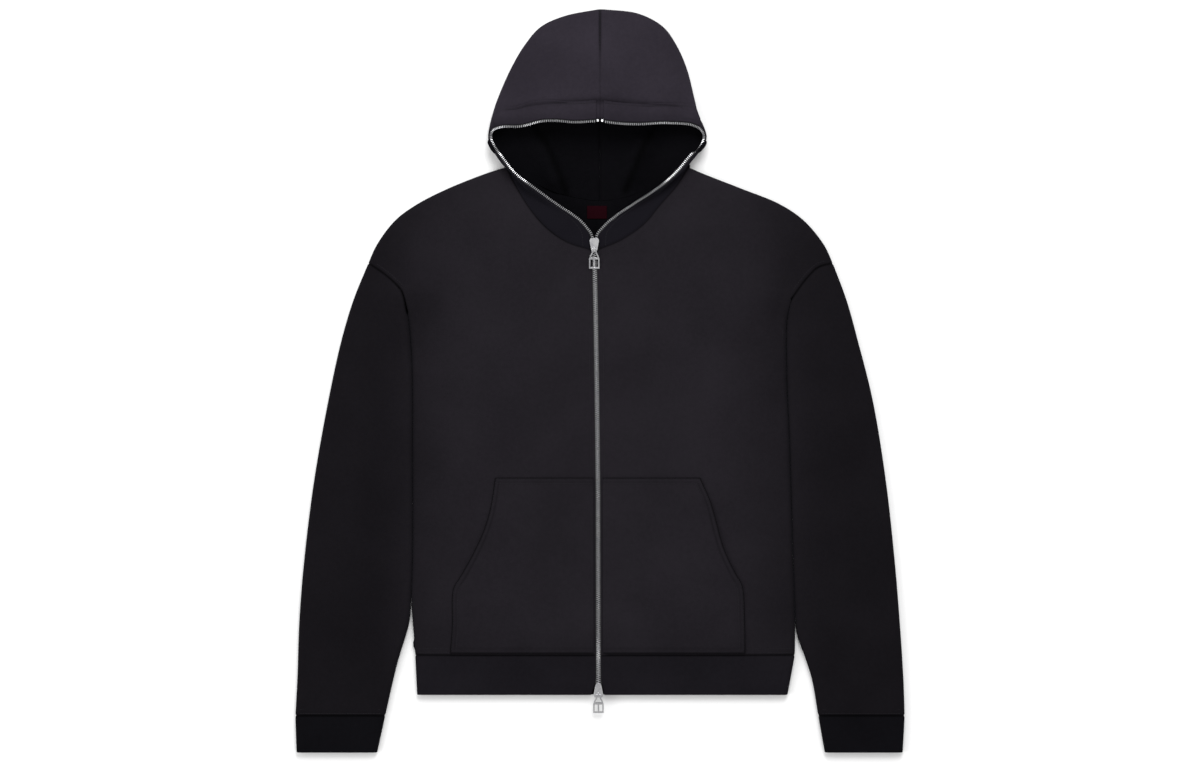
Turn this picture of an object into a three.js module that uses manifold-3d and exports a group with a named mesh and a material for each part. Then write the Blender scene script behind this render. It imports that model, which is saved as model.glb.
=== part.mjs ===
// Zip up hoodie laid flat on its back, in millimetres.
// X runs to the picture's right, Y from the hem to the hood, Z up off the surface it lies on.
import * as THREE from 'three';
import Module from 'manifold-3d';
import { mergeVertices } from 'three/addons/utils/BufferGeometryUtils.js';

// Cloth
const CLOTH = 2.4; // wall of the brushed fleece
const BAND = 2.6; // wall of the folded cuffs and hem
const SEAM = 0.3; // gap between two sewn pieces
const NECK_GAP = 0.45; // from the neck seam to the pieces on both sides, where it turns over a fold
const FOLD_R = 7; // radius in plan over which a folded edge turns
const FOLD_Z = 6.2; // height of the middle of a folded edge
const EDGE_Z = 12.5; // height of the upper layer just inside a folded edge
const BODY_Z = 24; // height of the upper layer in the middle of body and sleeves
const SOFT = 75; // distance from an edge over which the upper layer rises to BODY_Z
const RESTING = 0.05; // points lower than this lie on the surface
const HEM_Z = 11.4; // height of the upper layer at the hem's lower edge
const HEM_FLAT = 18; // length of hem over which it stays at HEM_Z
const HEM_RISE = 40; // length above its seam over which the body rises to BODY_Z
const TURN_PARTS = [0, 0.1, 0.42, 1]; // where points lie round a fold, as parts of its radius

// Heights of places along Y
const HEM_END = -407;
const HEM_SEAM = -355;
const CUFF_END = -482;
const CUFF_SEAM = -434;
const NECK_FRONT = 171.6;
const NAPE = 236;
const CROWN = 485.6;

// Outline of shoulder and sleeve from the neck down to the cuff
const OUTER = [
  { y: 280, left: -121, right: 114.5 },
  { y: 273, left: -144, right: 130 },
  { y: 252, left: -197.5, right: 183.5 },
  { y: 231.5, left: -238, right: 234 },
  { y: 210.5, left: -266.5, right: 265 },
  { y: 179.5, left: -290, right: 291 },
  { y: 154.7, left: -301.5, right: 303 },
  { y: 106.5, left: -321, right: 321 },
  { y: 54.5, left: -336.5, right: 335.5 },
  { y: -23.5, left: -353.5, right: 355 },
  { y: -127.5, left: -372, right: 372 },
  { y: -231.5, left: -385, right: 383.5 },
  { y: -309.5, left: -391.3, right: 390 },
  { y: -387.5, left: -394, right: 395 },
  { y: CUFF_SEAM, left: -396.5, right: 396.5 },
];
const SHOULDER_ROWS = 7; // rows of OUTER that belong to the shoulder seam

// Armhole seam from the outline to the underarm
const ARMHOLE = {
  left: [[-301.5, 154.7], [-282, 141.7], [-268, 130], [-257.5, 118], [-250.5, 90], [-245.7, 44],
    [-243.8, -13], [-243.8, -75.5]],
  right: [[303, 154.7], [283.5, 149], [270.5, 137], [260, 124], [249, 108], [243.5, 80], [243, 8],
    [246.5, -75.5]],
};
const UNDERARM = -75.5;
const CREASE_TOP = 124; // where the crease between sleeve and body begins
const CREASE_FULL = 70; // where it is as deep as a folded edge

// Side of the body and the sleeve's inner edge below the underarm
const SIDE = {
  left: [[-243.8, -75.5], [-243.8, -231.5], [-245.5, -283], [-243, -322], [-240.5, HEM_SEAM]],
  right: [[246.5, -75.5], [251, -222], [253.5, -294], [254, -330], [253.5, HEM_SEAM]],
};
const INSEAM = {
  left: [[-243.8, -75.5], [-243.8, -231.5], [-245.7, -283], [-248, -312], [-262.5, -361.5],
    [-269, -387.5], [-279.5, CUFF_SEAM]],
  right: [[246.5, -75.5], [251, -222], [253.5, -294], [255.5, -325], [268, -361.5], [276, -387.5],
    [284, CUFF_SEAM]],
};
const HEM_CORNER = { left: [-238, HEM_END], right: [244, HEM_END] };
const CUFF_CORNER = {
  left: { outer: [-395, CUFF_END], inner: [-290, CUFF_END] },
  right: { outer: [394, CUFF_END], inner: [292.5, CUFF_END] },
};

// Zip: line of its middle on the body, and where cloth meets chain on the hood
const ZIP_MIDDLE = [
  { y: HEM_END, x: -2 },
  { y: -150, x: -2.6 },
  { y: -20, x: -3.9 },
  { y: 100, x: -5.8 },
  { y: NECK_FRONT, x: -7.4 },
];
const CHAIN_HALF = 3.1; // width of one side of the chain
const CHAIN_T = 3; // its thickness
const CHAIN_LIFT = 0.5; // how far it stands above the cloth beside it
const ZIP_EDGE = CHAIN_HALF + SEAM + SEAM / 2; // from the zip's middle to the cloth
const FACE = {
  left: [[-13, 190], [-19.5, 199.5], [-28.5, 209], [-59.6, 230], [-88.5, 251], [-112, 269.5],
    [-127.5, 289], [-139, 305], [-144, 318], [-141, 328], [-128, 332.8], [-102.7, 333.3],
    [-76.7, 339], [-57, 339.8], [-32.5, 337.6], [-SEAM / 2, 339.2]],
  right: [[-1.8, 190], [5.5, 199], [16, 209], [47, 230], [78.5, 250.8], [101.5, 271.5],
    [119.5, 293], [131.5, 304], [137.3, 317], [134, 327.5], [121, 335], [83, 337.2],
    [53, 335.3], [23.5, 336], [SEAM / 2, 339.2]],
};
const FACE_CORNER = { left: [-144, 318], right: [137.3, 317] }; // where it meets the outline

// Outline of the hood from the neck over the corner of its opening to the crown
const HOOD_SIDE = {
  left: [[-121, 280], [-130.5, 293.5], [-140.5, 304], [-145, 319], [-143.5, 334], [-140.5, 346],
    [-134, 366.5], [-116, 408], [-97.5, 439.5], [-77, 462.5], [-46, 476.5], [-SEAM / 2, CROWN]],
  right: [[114.5, 280], [123.5, 293.5], [132.5, 304], [138.5, 319], [134.5, 334], [128.5, 346],
    [123.5, 366.5], [113, 408], [99, 439.5], [82, 462.5], [50, 479.5], [SEAM / 2, CROWN]],
};
const NECK_SEAM = {
  left: [[-121, 280], [-109, 255], [-88.5, 222], [-69, 200], [-43, 182]],
  right: [[114.5, 280], [99, 255], [77.5, 230], [57, 205.5], [27, 184.5]],
};

// Height of the hood's face edge from the front of the neck (0) over the corner (0.5) to the
// middle of the forehead (1)
const FACE_Z = [
  { t: 0, z: BODY_Z },
  { t: 0.1, z: 24.5 },
  { t: 0.3, z: 33 },
  { t: 0.42, z: 27 },
  { t: 0.5, z: 17 },
  { t: 0.62, z: 29 },
  { t: 0.8, z: 42 },
  { t: 1, z: 48 },
];
const HOOD_HEM = 25; // width of the strip along the upper edge of the hood's opening
const HOOD_HEM_T = 1.2; // how far it stands up

// Outer edge of each pocket from the hem up, with the slanted opening from POCKET_OPEN on
const POCKET_T = 2;
const POCKET_GAP = 1; // to the front, which it lies on
const POCKET_TOP = -124;
const POCKET_INNER = 6; // from the zip's middle
const POCKET = {
  left: [[-194.5, HEM_SEAM + 3], [-191.5, -318], [-190, -268], [-181.5, -253], [-164, -221],
    [-150, -190], [-141.5, -160], [-136, POCKET_TOP]],
  right: [[188.5, HEM_SEAM + 3], [187.5, -310], [184.5, -264], [176, -248], [161, -216],
    [144.5, -158], [130, POCKET_TOP]],
};

// Sliders and pulls
const PLATE = { length: 18, wide: 12.4, narrow: 8, thick: 2, corner: 1.5, shoulder: 3 };
const ARCH = { wide: 1.6, reach: 3, post: 1.2, inner: 1.6, outer: 2.8, inset: 0.2 };
const AXIS_UP = 2.2; // pull axis above the slider's upper plate
const PULL = { length: 25, top: 5.9, bottom: 13.6, thick: 1.8, bar: 1.8, eyeEnd: 10.5, cross: 12.4 };
const TOP_AXIS_Y = 171.6;
const BOTTOM_AXIS_Y = -406.5;
const TOP_DROOP = 8.5; // degrees that the pull hangs below level at rest
const BOTTOM_DROOP = 18;
const POST = { wide: 1.8, long: 1.8 }; // bridge between a slider's plates
const LABEL = { x: -4, y: 221, wide: 26, long: 17, thick: 0.8 };
const STOP = { from: 4.6, to: 1.8, thick: 3.8, lift: 0.4 }; // top stops, from the middle

const plan = (points) => new THREE.CatmullRomCurve3(
  points.map(([x, y]) => new THREE.Vector3(x, y, 0)), false, 'centripetal');
const clamp01 = (value) => Math.min(1, Math.max(0, value));
const smooth = (from, to, value) => {
  const part = clamp01((value - from) / (to - from));
  return part * part * (3 - 2 * part);
};
const mix = (a, b, part) => a + (b - a) * part;

// Height of a quarter turn, 0 at the edge and 1 at the distance `radius` inside it
const turn = (distance, radius = FOLD_R) => {
  const left = 1 - clamp01(distance / radius);
  return Math.sqrt(1 - left * left);
};

// Value of a table's column at y, between its rows
function column(table, name, y) {
  const down = table[0].y > table[table.length - 1].y;
  const rows = down ? [...table].reverse() : table;
  const found = rows.findIndex((row) => row.y >= y);
  const above = found < 0 ? rows.length - 1 : Math.max(1, found);
  const [a, b] = [rows[above - 1], rows[above]];
  return mix(a[name], b[name], clamp01((y - a.y) / (b.y - a.y)));
}

// A sampled curve that answers with its distance from a point in plan
function ruler(curve, steps = 120) {
  const spots = curve.getSpacedPoints(steps);
  const leg = new THREE.Line3();
  const near = new THREE.Vector3();
  return (x, y) => {
    const from = new THREE.Vector3(x, y, 0);
    let best = Infinity;
    for (let i = 1; i < spots.length; i += 1) {
      leg.set(spots[i - 1], spots[i]).closestPointToPoint(from, true, near);
      best = Math.min(best, near.distanceTo(from));
    }
    return best;
  };
}

const SIDES = ['left', 'right'];
const sign = { left: -1, right: 1 };
const shoulder = {};
const outline = {};
const armhole = {};
const crease = {};
const outlineFar = {};
const creaseFar = {};
for (const side of SIDES) {
  const rows = OUTER.map((row) => [row[side], row.y]);
  shoulder[side] = plan(rows.slice(0, SHOULDER_ROWS));
  outline[side] = plan(rows.slice(SHOULDER_ROWS - 1));
  armhole[side] = plan(ARMHOLE[side]);
  crease[side] = plan(INSEAM[side]);
  outlineFar[side] = ruler(plan([...rows, CUFF_CORNER[side].outer]));
  const above = ARMHOLE[side].filter(([, y]) => y < CREASE_TOP);
  creaseFar[side] = ruler(plan([...above, ...INSEAM[side].slice(1), CUFF_CORNER[side].inner]));
}

// Height of the outer face of the upper layer of body and sleeves
function upperZ(x, y, inner) {
  const side = x < 0 ? 'left' : 'right';
  const far = outlineFar[side](x, y);
  const near = inner ?? creaseFar[side](x, y);
  const deep = smooth(CREASE_TOP, CREASE_FULL, y);
  const edge = turn(far) * (1 - deep * (1 - turn(near)));
  const soft = smooth(0, SOFT, far) * (1 - deep * (1 - smooth(0, SOFT, near)));
  const low = smooth(HEM_END + HEM_FLAT, HEM_SEAM + HEM_RISE, y);
  const top = mix(HEM_Z, BODY_Z, low);
  return FOLD_Z + (Math.min(EDGE_Z, top) - FOLD_Z) * edge + Math.max(0, top - EDGE_Z) * soft;
}

// Places from 0 to 1 along a row of the given length, close together where an end is folded
function places(count, length, folds) {
  const turns = TURN_PARTS.map((part) => (part * FOLD_R) / length);
  const first = folds.start ? turns : [0];
  const last = folds.end ? turns.map((part) => 1 - part).reverse() : [1];
  const from = first[first.length - 1];
  const to = last[0];
  const middle = Array.from({ length: count - 1 }, (_, i) => mix(from, to, (i + 1) / count));
  return [...first, ...middle, ...last];
}

// Point of a four-sided patch in plan, from its four edges
const patch = (bottom, top, start, end) => (u, v) => {
  const corner = (a, b, part) => a.clone().lerp(b, part);
  const across = corner(start(v), end(v), u);
  const along = corner(bottom(u), top(u), v);
  const low = corner(bottom(0), bottom(1), u);
  const high = corner(top(0), top(1), u);
  return across.add(along).sub(corner(low, high, v));
};
const at = (curve) => (part) => curve.getPointAt(clamp01(part));
const between = (a, b) => (part) => new THREE.Vector3(...a, 0).lerp(new THREE.Vector3(...b, 0), part);

// Normals of a grid of points that face away from the wall
function normalsOf(rows, ring) {
  const down = rows.length;
  const wide = rows[0].length;
  const pick = (list, i) => list[Math.min(list.length - 1, Math.max(0, i))];
  return rows.map((row, j) => row.map((point, i) => {
    const next = ring ? row[(i + 1) % wide] : pick(row, i + 1);
    const last = ring ? row[(i - 1 + wide) % wide] : pick(row, i - 1);
    const over = pick(rows, Math.min(down - 1, j + 1))[i];
    const under = pick(rows, Math.max(0, j - 1))[i];
    return next.clone().sub(last).cross(over.clone().sub(under)).normalize();
  }));
}

// A closed wall: outer points, and inner points moved in by its thickness. The rows in `square`
// end square to an axis (0 for X, 1 for Y), as their neighbour does, and
// points that are `upright` lie halfway round a fold.
function wall(rows, thick, {
  ring = false, lift = 0, outward = 1, square = [], ups = null, upright = () => false,
} = {}) {
  const own = normalsOf(rows, ring).map((row) => row.map((n) => n.multiplyScalar(outward)));
  const normals = ups ?? own;
  for (const [j, axis] of square) {
    normals.at(j).forEach((n) => n.setComponent(axis, 0).normalize());
  }
  rows.forEach((row, j) => row.forEach((point, i) => {
    if (upright(point, j, i)) {
      normals[j][i].setZ(0).normalize();
    }
    if (point.z < RESTING) {
      normals[j][i].set(0, 0, -1);
    }
  }));
  const wide = rows[0].length;
  const size = rows.length * wide;
  const spots = [];
  for (const depth of [lift, lift - thick]) {
    rows.forEach((row, j) => row.forEach((point, i) => {
      spots.push(...point.clone().addScaledVector(normals[j][i], depth).toArray());
    }));
  }
  const faces = [];
  const face = (a, b, c, d) => (outward > 0 ? faces.push(a, b, c, a, c, d) : faces.push(a, c, b, a, d, c));
  const id = (j, i, layer) => layer * size + j * wide + (i % wide);
  const last = rows.length - 1;
  for (let i = 0; i < (ring ? wide : wide - 1); i += 1) {
    for (let j = 0; j < last; j += 1) {
      face(id(j, i, 0), id(j, i + 1, 0), id(j + 1, i + 1, 0), id(j + 1, i, 0));
      face(id(j, i, 1), id(j + 1, i, 1), id(j + 1, i + 1, 1), id(j, i + 1, 1));
    }
    face(id(0, i, 1), id(0, i + 1, 1), id(0, i + 1, 0), id(0, i, 0));
    face(id(last, i, 0), id(last, i + 1, 0), id(last, i + 1, 1), id(last, i, 1));
  }
  if (!ring) {
    for (let j = 0; j < last; j += 1) {
      face(id(j, 0, 0), id(j + 1, 0, 0), id(j + 1, 0, 1), id(j, 0, 1));
      face(id(j, wide - 1, 1), id(j + 1, wide - 1, 1), id(j + 1, wide - 1, 0), id(j, wide - 1, 0));
    }
  }
  const geometry = new THREE.BufferGeometry();
  geometry.setAttribute('position', new THREE.Float32BufferAttribute(spots, 3));
  geometry.setIndex(faces);
  return { geometry, rows, normals, thick, options: { ring, outward } };
}

// Moves a plan curve sideways, so that sewn pieces keep their gap
const shifted = (curve, amount) => (part) => {
  const low = Math.max(0, part - 0.002);
  const along = at(curve)(Math.min(1, part + 0.002)).sub(at(curve)(low)).normalize();
  return at(curve)(part).add(new THREE.Vector3(-along.y, along.x, 0).multiplyScalar(amount));
};
const reversed = (curve) => (part) => curve(1 - part);

const sideEdge = {};
const bodyFar = {};
const neck = {};
for (const side of SIDES) {
  const rim = [...SIDE[side], HEM_CORNER[side]];
  const above = ARMHOLE[side].filter(([, y]) => y < CREASE_TOP);
  sideEdge[side] = plan(SIDE[side]);
  bodyFar[side] = ruler(plan([...above, ...rim.slice(1)]));
  neck[side] = plan([...NECK_SEAM[side], [zipX(NECK_FRONT) + sign[side] * ZIP_EDGE, NECK_FRONT]]);
}

function zipX(y) {
  return column(ZIP_MIDDLE, 'x', y);
}

// Length below the underarm over which the lower layer of body and sleeve part
const PARTING = 20;

// Height of the outer face of the lower layer, which lies on the surface
function lowerZ(x, y, near) {
  const side = x < 0 ? 'left' : 'right';
  const closed = 1 - smooth(UNDERARM, UNDERARM + PARTING, y);
  const edge = turn(outlineFar[side](x, y)) * (1 - closed * (1 - turn(near)));
  return FOLD_Z * (1 - edge);
}

// Lengths of rows that turn over a fold at their ends
const ARMHOLE_LONG = 236;
const FRONT_WIDE = 235;
const BACK_WIDE = 490;
const CUFF_WIDE = 110;

// Places along the armhole, the side and the shoulder that the pieces on both sides share
const ARM_PARTS = places(6, ARMHOLE_LONG, { start: true, end: true });
const SIDE_PARTS = [0, 0.2, 0.4, 0.6, 0.8];
const FRONT_PARTS = places(6, FRONT_WIDE, { end: true });
const ON_FOLD = 0.7; // how near in height a point of the lower layer is to the middle of a fold
const NECK_ROW = 10; // row of a front that starts the neck seam

// Points up the side of the body and the armhole, from the hem to the outline
function bodySide(side) {
  const gap = (-sign[side] * SEAM) / 2;
  const low = SIDE_PARTS.map((part) => shifted(sideEdge[side], gap)(1 - part));
  return [...low, ...[...ARM_PARTS].reverse().map(shifted(armhole[side], gap))];
}

// A net of points in plan from the points of its four edges
function net(start, end, bottom, top) {
  const wide = bottom.length - 1;
  const mixed = (a, b, part) => a.clone().lerp(b, part);
  const share = (list) => {
    const steps = list.slice(1).map((spot, i) => spot.distanceTo(list[i]));
    const all = steps.reduce((sum, step) => sum + step, 0);
    let gone = 0;
    return [0, ...steps.map((step) => (gone += step) / all)];
  };
  const [us, vs] = [share(bottom), share(start)];
  return start.map((from, j) => bottom.map((low, i) => {
    const [u, v] = [us[i], vs[j]];
    const corners = mixed(mixed(bottom[0], bottom[wide], u), mixed(top[0], top[wide], u), v);
    return mixed(from, end[j], u).add(mixed(low, top[i], v)).sub(corners);
  }));
}

function front(side, neckParts) {
  const outer = bodySide(side);
  const neckEdge = shifted(neck[side], sign[side] * NECK_GAP);
  const zipEdge = Array.from({ length: NECK_ROW }, (_, j) => {
    const y = mix(HEM_SEAM + SEAM / 2, NECK_FRONT, j / NECK_ROW);
    return new THREE.Vector3(zipX(y) + sign[side] * ZIP_EDGE, y, 0);
  });
  const inner = [...zipEdge, ...neckParts.map((part) => neckEdge(1 - part))];
  const us = FRONT_PARTS;
  const hem = us.map((u) => inner[0].clone().lerp(outer[0], u));
  const top = us.map(at(shoulder[side]));
  top[0] = inner[inner.length - 1];
  top[us.length - 1] = outer[outer.length - 1];
  const rows = net(inner, outer, hem, top);
  rows.flat().forEach((p) => {
    const near = bodyFar[side](p.x, p.y);
    p.z = upperZ(p.x, p.y, near) + (SEAM / 2) * foldShare(p, side);
  });
  const [lastRow, lastColumn] = [rows.length - 1, us.length - 1];
  const upright = (p, j, i) => (j === lastRow || i === lastColumn) && foldShare(p, side) > 0.9;
  return wall(rows, CLOTH, { outward: sign[side], square: [[0, 1]], upright });
}

// 1 on a folded edge of the body and 0 away from it
function foldShare(point, side) {
  const far = outlineFar[side](point.x, point.y);
  const near = bodyFar[side](point.x, point.y);
  return 1 - turn(Math.min(far, near));
}

function back(napeSpots) {
  const [left, right] = SIDES.map(bodySide);
  const top = [
    ...[...FRONT_PARTS].reverse().map(at(shoulder.left)).slice(0, -1),
    ...napeSpots.map((spot) => spot.clone().setZ(0).add(new THREE.Vector3(0, -SEAM, 0))),
    ...FRONT_PARTS.map(at(shoulder.right)).slice(1),
  ];
  top[0] = left[left.length - 1];
  top[top.length - 1] = right[right.length - 1];
  const turns = 2 * TURN_PARTS.length - 1;
  const us = places(top.length - turns, BACK_WIDE, { start: true, end: true });
  const hem = us.map((u) => left[0].clone().lerp(right[0], u));
  const rows = net(left, right, hem, top);
  rows.flat().forEach((p) => {
    const side = p.x < 0 ? 'left' : 'right';
    const low = lowerZ(p.x, p.y, bodyFar[side](p.x, p.y));
    p.z = Math.max(0, low - (SEAM / 2) * foldShare(p, side));
  });
  const lastRow = rows.length - 1;
  const ends = (i) => i === 0 || i === us.length - 1;
  const upright = (p, j, i) => (j === lastRow || ends(i)) && p.z > FOLD_Z - ON_FOLD;
  return wall(rows, CLOTH, { outward: -1, square: [[0, 1]], upright });
}

// A tube that lies flat: an upper row of points across it, and a lower row back
function flatTube(spot, columns, rowParts, width, upper, lower, first) {
  return rowParts.map((v) => {
    const across = v === 0 ? first : places(columns, width(v), { start: true, end: true });
    const over = across.map((u) => upper(spot(u, v)));
    const under = across.slice(1, -1).reverse().map((u) => lower(spot(u, v)));
    return [...over, ...under];
  });
}

function sleeve(side) {
  const gap = (sign[side] * SEAM) / 2;
  const hole = shifted(armhole[side], gap);
  const inner = shifted(crease[side], gap);
  const cuffRow = (part) => at(outline[side])(1).lerp(inner(1), part).setY(CUFF_SEAM + SEAM / 2);
  const spot = patch(hole, cuffRow, at(outline[side]), inner);
  const width = (v) => at(outline[side])(v).distanceTo(inner(v));
  const seamParts = [0, 0.004, 0.014, 0.05];
  const from = seamParts[seamParts.length - 1];
  const down = Array.from({ length: 10 }, (_, i) => mix(from, 1, (i + 1) / 10));
  const rowParts = [...seamParts, ...down];
  const upper = (p) => p.setZ(upperZ(p.x, p.y));
  const lower = (p) => p.setZ(lowerZ(p.x, p.y, creaseFar[side](p.x, p.y)));
  const rows = flatTube(spot, 6, rowParts, width, upper, lower, ARM_PARTS);
  const made = wall(rows, CLOTH, { ring: true, outward: sign[side], square: [[-1, 1]] });
  const least = -0.3; // how far the wall leans from the body in the crease
  const inCrease = 1.5; // distance from it
  made.normals.slice(0, seamParts.length - 1).forEach((row, j) => row.forEach((n, i) => {
    const { x, y } = rows[j][i];
    if (y < CREASE_TOP && creaseFar[side](x, y) < inCrease) {
      n.setX(sign[side] * Math.min(least, n.x * sign[side])).normalize();
    }
  }));
  return wall(rows, CLOTH, { ring: true, outward: sign[side], ups: made.normals });
}

function cuff(side) {
  const outerTop = at(outline[side])(1).setY(CUFF_SEAM - SEAM / 2);
  const innerTop = at(crease[side])(1).setY(CUFF_SEAM - SEAM / 2);
  const corner = CUFF_CORNER[side];
  const start = between(outerTop.toArray().slice(0, 2), corner.outer);
  const end = between(innerTop.toArray().slice(0, 2), corner.inner);
  const spot = (u, v) => start(v).lerp(end(v), u);
  const upper = (p) => p.setZ(upperZ(p.x, p.y));
  const lower = (p) => p.setZ(lowerZ(p.x, p.y, creaseFar[side](p.x, p.y)));
  const first = places(6, CUFF_WIDE, { start: true, end: true });
  const rows = flatTube(spot, 6, [0, 0.5, 1], () => CUFF_WIDE, upper, lower, first);
  return wall(rows, BAND, { ring: true, outward: sign[side], square: [[0, 1], [-1, 1]] });
}

function hemBand() {
  const rows = [0, 0.5, 1].map((v) => {
    const y = mix(HEM_END, HEM_SEAM - SEAM / 2, v);
    const edge = {};
    const zipSide = {};
    for (const side of SIDES) {
      const line = between(HEM_CORNER[side], SIDE[side][SIDE[side].length - 1]);
      edge[side] = line(v).setY(y);
      zipSide[side] = new THREE.Vector3(zipX(y) + sign[side] * ZIP_EDGE, y, 0);
    }
    const upper = (side) => places(9, FRONT_WIDE, { end: true }).map((u) => {
      const p = zipSide[side].clone().lerp(edge[side], u);
      return p.setZ(upperZ(p.x, p.y, bodyFar[side](p.x, p.y)));
    });
    const under = places(14, BACK_WIDE, { start: true, end: true }).slice(1, -1).map((u) => {
      const p = edge.left.clone().lerp(edge.right, u);
      return p.setZ(lowerZ(p.x, p.y, bodyFar[p.x < 0 ? 'left' : 'right'](p.x, p.y)));
    });
    return [...upper('left'), ...under, ...upper('right').reverse()];
  });
  return wall(rows, BAND, { outward: -1, square: [[0, 1], [-1, 1]] });
}

// Joins closed solids into one
const wasm = await Module();
wasm.setup();
function solid(geometry) {
  const bare = geometry.clone();
  bare.deleteAttribute('normal');
  bare.deleteAttribute('uv');
  const merged = mergeVertices(bare, 1e-4);
  return new wasm.Manifold(new wasm.Mesh({
    numProp: 3,
    vertProperties: new Float32Array(merged.attributes.position.array),
    triVerts: new Uint32Array(merged.index.array),
  }));
}
function geometryOf(body) {
  const { vertProperties, triVerts } = body.getMesh();
  const geometry = new THREE.BufferGeometry();
  geometry.setAttribute('position', new THREE.BufferAttribute(new Float32Array(vertProperties), 3));
  geometry.setIndex(new THREE.BufferAttribute(new Uint32Array(triVerts), 1));
  return geometry;
}
const fused = (geometries) => geometryOf(geometries.map(solid).reduce((all, next) => all.add(next)));
const largest = (body) => geometryOf(body.decompose().sort((a, b) => b.volume() - a.volume())[0]);

// Hood halves: ribs from the face edge over the upper layer, round the outline and along the
// surface to the seam down the back of the head. t runs from the neck seam to the crown seam.
const RIM_POINT = 7; // point of a hood's rib that lies on the outline
const HOOD_TURN = 0.55; // share of a rib that lies in the upper layer
const CORNER = 0.5; // t at the corner of the opening
const BEND_SHARE = 0.6; // most of a rib's length that a fold takes up where the hood is narrow
const NAPE_CURVE = 1.8; // how flat the nape's seam starts from the middle
const BEHIND_TOP = CROWN - 12; // highest point of the seam down the back of the head
const BEHIND_CURVE = 0.8;
const NARROW = [4, 60]; // lengths of rib between which the fold takes on the body's height
const NECK_BLEND = 0.16; // t over which the hood takes on its own height above the neck

function partNear(curve, [x, y]) {
  const spots = curve.getSpacedPoints(400);
  const far = spots.map((spot) => Math.hypot(spot.x - x, spot.y - y));
  return far.indexOf(Math.min(...far)) / 400;
}

function bent(curve, corner) {
  const middle = partNear(curve, corner);
  return (t) => at(curve)(t < CORNER ? mix(0, middle, t / CORNER)
    : mix(middle, 1, (t - CORNER) / (1 - CORNER)));
}

function faceZ(t) {
  const above = Math.max(1, FACE_Z.findIndex((row) => row.t >= t - 1e-9));
  const [a, b] = [FACE_Z[above - 1], FACE_Z[above]];
  return mix(a.z, b.z, smooth(a.t, b.t, t));
}

function hoodShape(side) {
  const lean = sign[side];
  const neckPoint = [zipX(NECK_FRONT) + lean * ZIP_EDGE, NECK_FRONT + SEAM / 2];
  const faceCurve = plan([neckPoint, ...FACE[side]]);
  const face = bent(faceCurve, FACE_CORNER[side]);
  const rim = bent(plan(HOOD_SIDE[side]), FACE_CORNER[side]);
  const seam = reversed(shifted(neck[side], -lean * NECK_GAP));
  const nape = (part) => {
    const end = rim(0);
    const y = NAPE + SEAM / 2 + (end.y - NAPE) * Math.abs(1 - part) ** NAPE_CURVE;
    return new THREE.Vector3(mix(end.x, (lean * SEAM) / 2, part), y, 0);
  };
  const behind = (t) => (
    new THREE.Vector3((lean * SEAM) / 2, mix(NAPE, BEHIND_TOP, t ** BEHIND_CURVE), 0));
  const point = (t, s) => {
    const [from, over, to] = [face(t), rim(t), behind(t)];
    const neckShare = (1 - t) ** 4;
    if (s <= HOOD_TURN) {
      const part = s / HOOD_TURN;
      const spot = from.clone().lerp(over, part);
      const straight = face(0).lerp(rim(0), part);
      spot.add(seam(part).sub(straight).multiplyScalar(neckShare));
      const long = from.distanceTo(over);
      const inside = long * (1 - part);
      const rise = faceZ(t) - FOLD_Z;
      const quick = mix(rise, EDGE_Z - FOLD_Z, smooth(...NARROW, long));
      const own = FOLD_Z + quick * turn(inside, Math.min(FOLD_R, long + 0.01))
        + (rise - quick) * Math.sin((Math.PI / 2) * clamp01(inside / (long + 0.01)));
      return spot.setZ(mix(upperZ(spot.x, spot.y, Infinity), own, smooth(0, NECK_BLEND, t)));
    }
    const part = (s - HOOD_TURN) / (1 - HOOD_TURN);
    const spot = over.clone().lerp(to, part);
    const straight = rim(0).lerp(behind(0), part);
    spot.add(nape(part).sub(straight).multiplyScalar(neckShare));
    return spot.setZ(FOLD_Z * (1 - turn(spot.distanceTo(over))));
  };
  return { point, face, rim, length: faceCurve.getLength() };
}

const HOOD_ROWS = [0, 0.035, 0.08, 0.13, 0.19, 0.26, 0.33, 0.39, 0.44, 0.475, 0.5, 0.525, 0.56, 0.6,
  0.66, 0.73, 0.81, 0.9, 0.96, 1];

function ribParts(shape, t) {
  const long = Math.max(1, shape.face(t).distanceTo(shape.rim(t)));
  const radius = Math.min(FOLD_R, long * BEND_SHARE);
  const turns = [...TURN_PARTS].reverse().map((part) => 1 - (part * radius) / long);
  const over = [0, 0.25, 0.5, 0.75].map((part) => part * turns[0]);
  const back = shape.rim(t).distanceTo(shape.point(t, 1).setZ(0));
  const bend = Math.min(FOLD_R, back * BEND_SHARE);
  const round = TURN_PARTS.slice(1).map((part) => (part * bend) / back);
  const flat = [0.4, 0.7, 1].map((part) => mix(round[round.length - 1], 1, part));
  return [...over, ...turns].map((part) => part * HOOD_TURN)
    .concat([...round, ...flat].map((part) => mix(HOOD_TURN, 1, part)));
}

const hoodShapes = Object.fromEntries(SIDES.map((side) => [side, hoodShape(side)]));

function hood(side) {
  const shape = hoodShapes[side];
  const rows = HOOD_ROWS.map((t) => ribParts(shape, t).map((s) => shape.point(t, s)));
  return wall(rows, CLOTH, { outward: sign[side], square: [[-1, 0]] });
}

// A hood half whose neck edge ends square to the surface of the front it is sewn to
function alongNeck(side, half, frontPiece) {
  const ups = half.normals;
  for (let i = 0; i <= RIM_POINT; i += 1) {
    ups[0][i] = frontPiece.normals[NECK_ROW + i][0];
  }
  return wall(half.rows, CLOTH, { outward: sign[side], ups });
}

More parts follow.
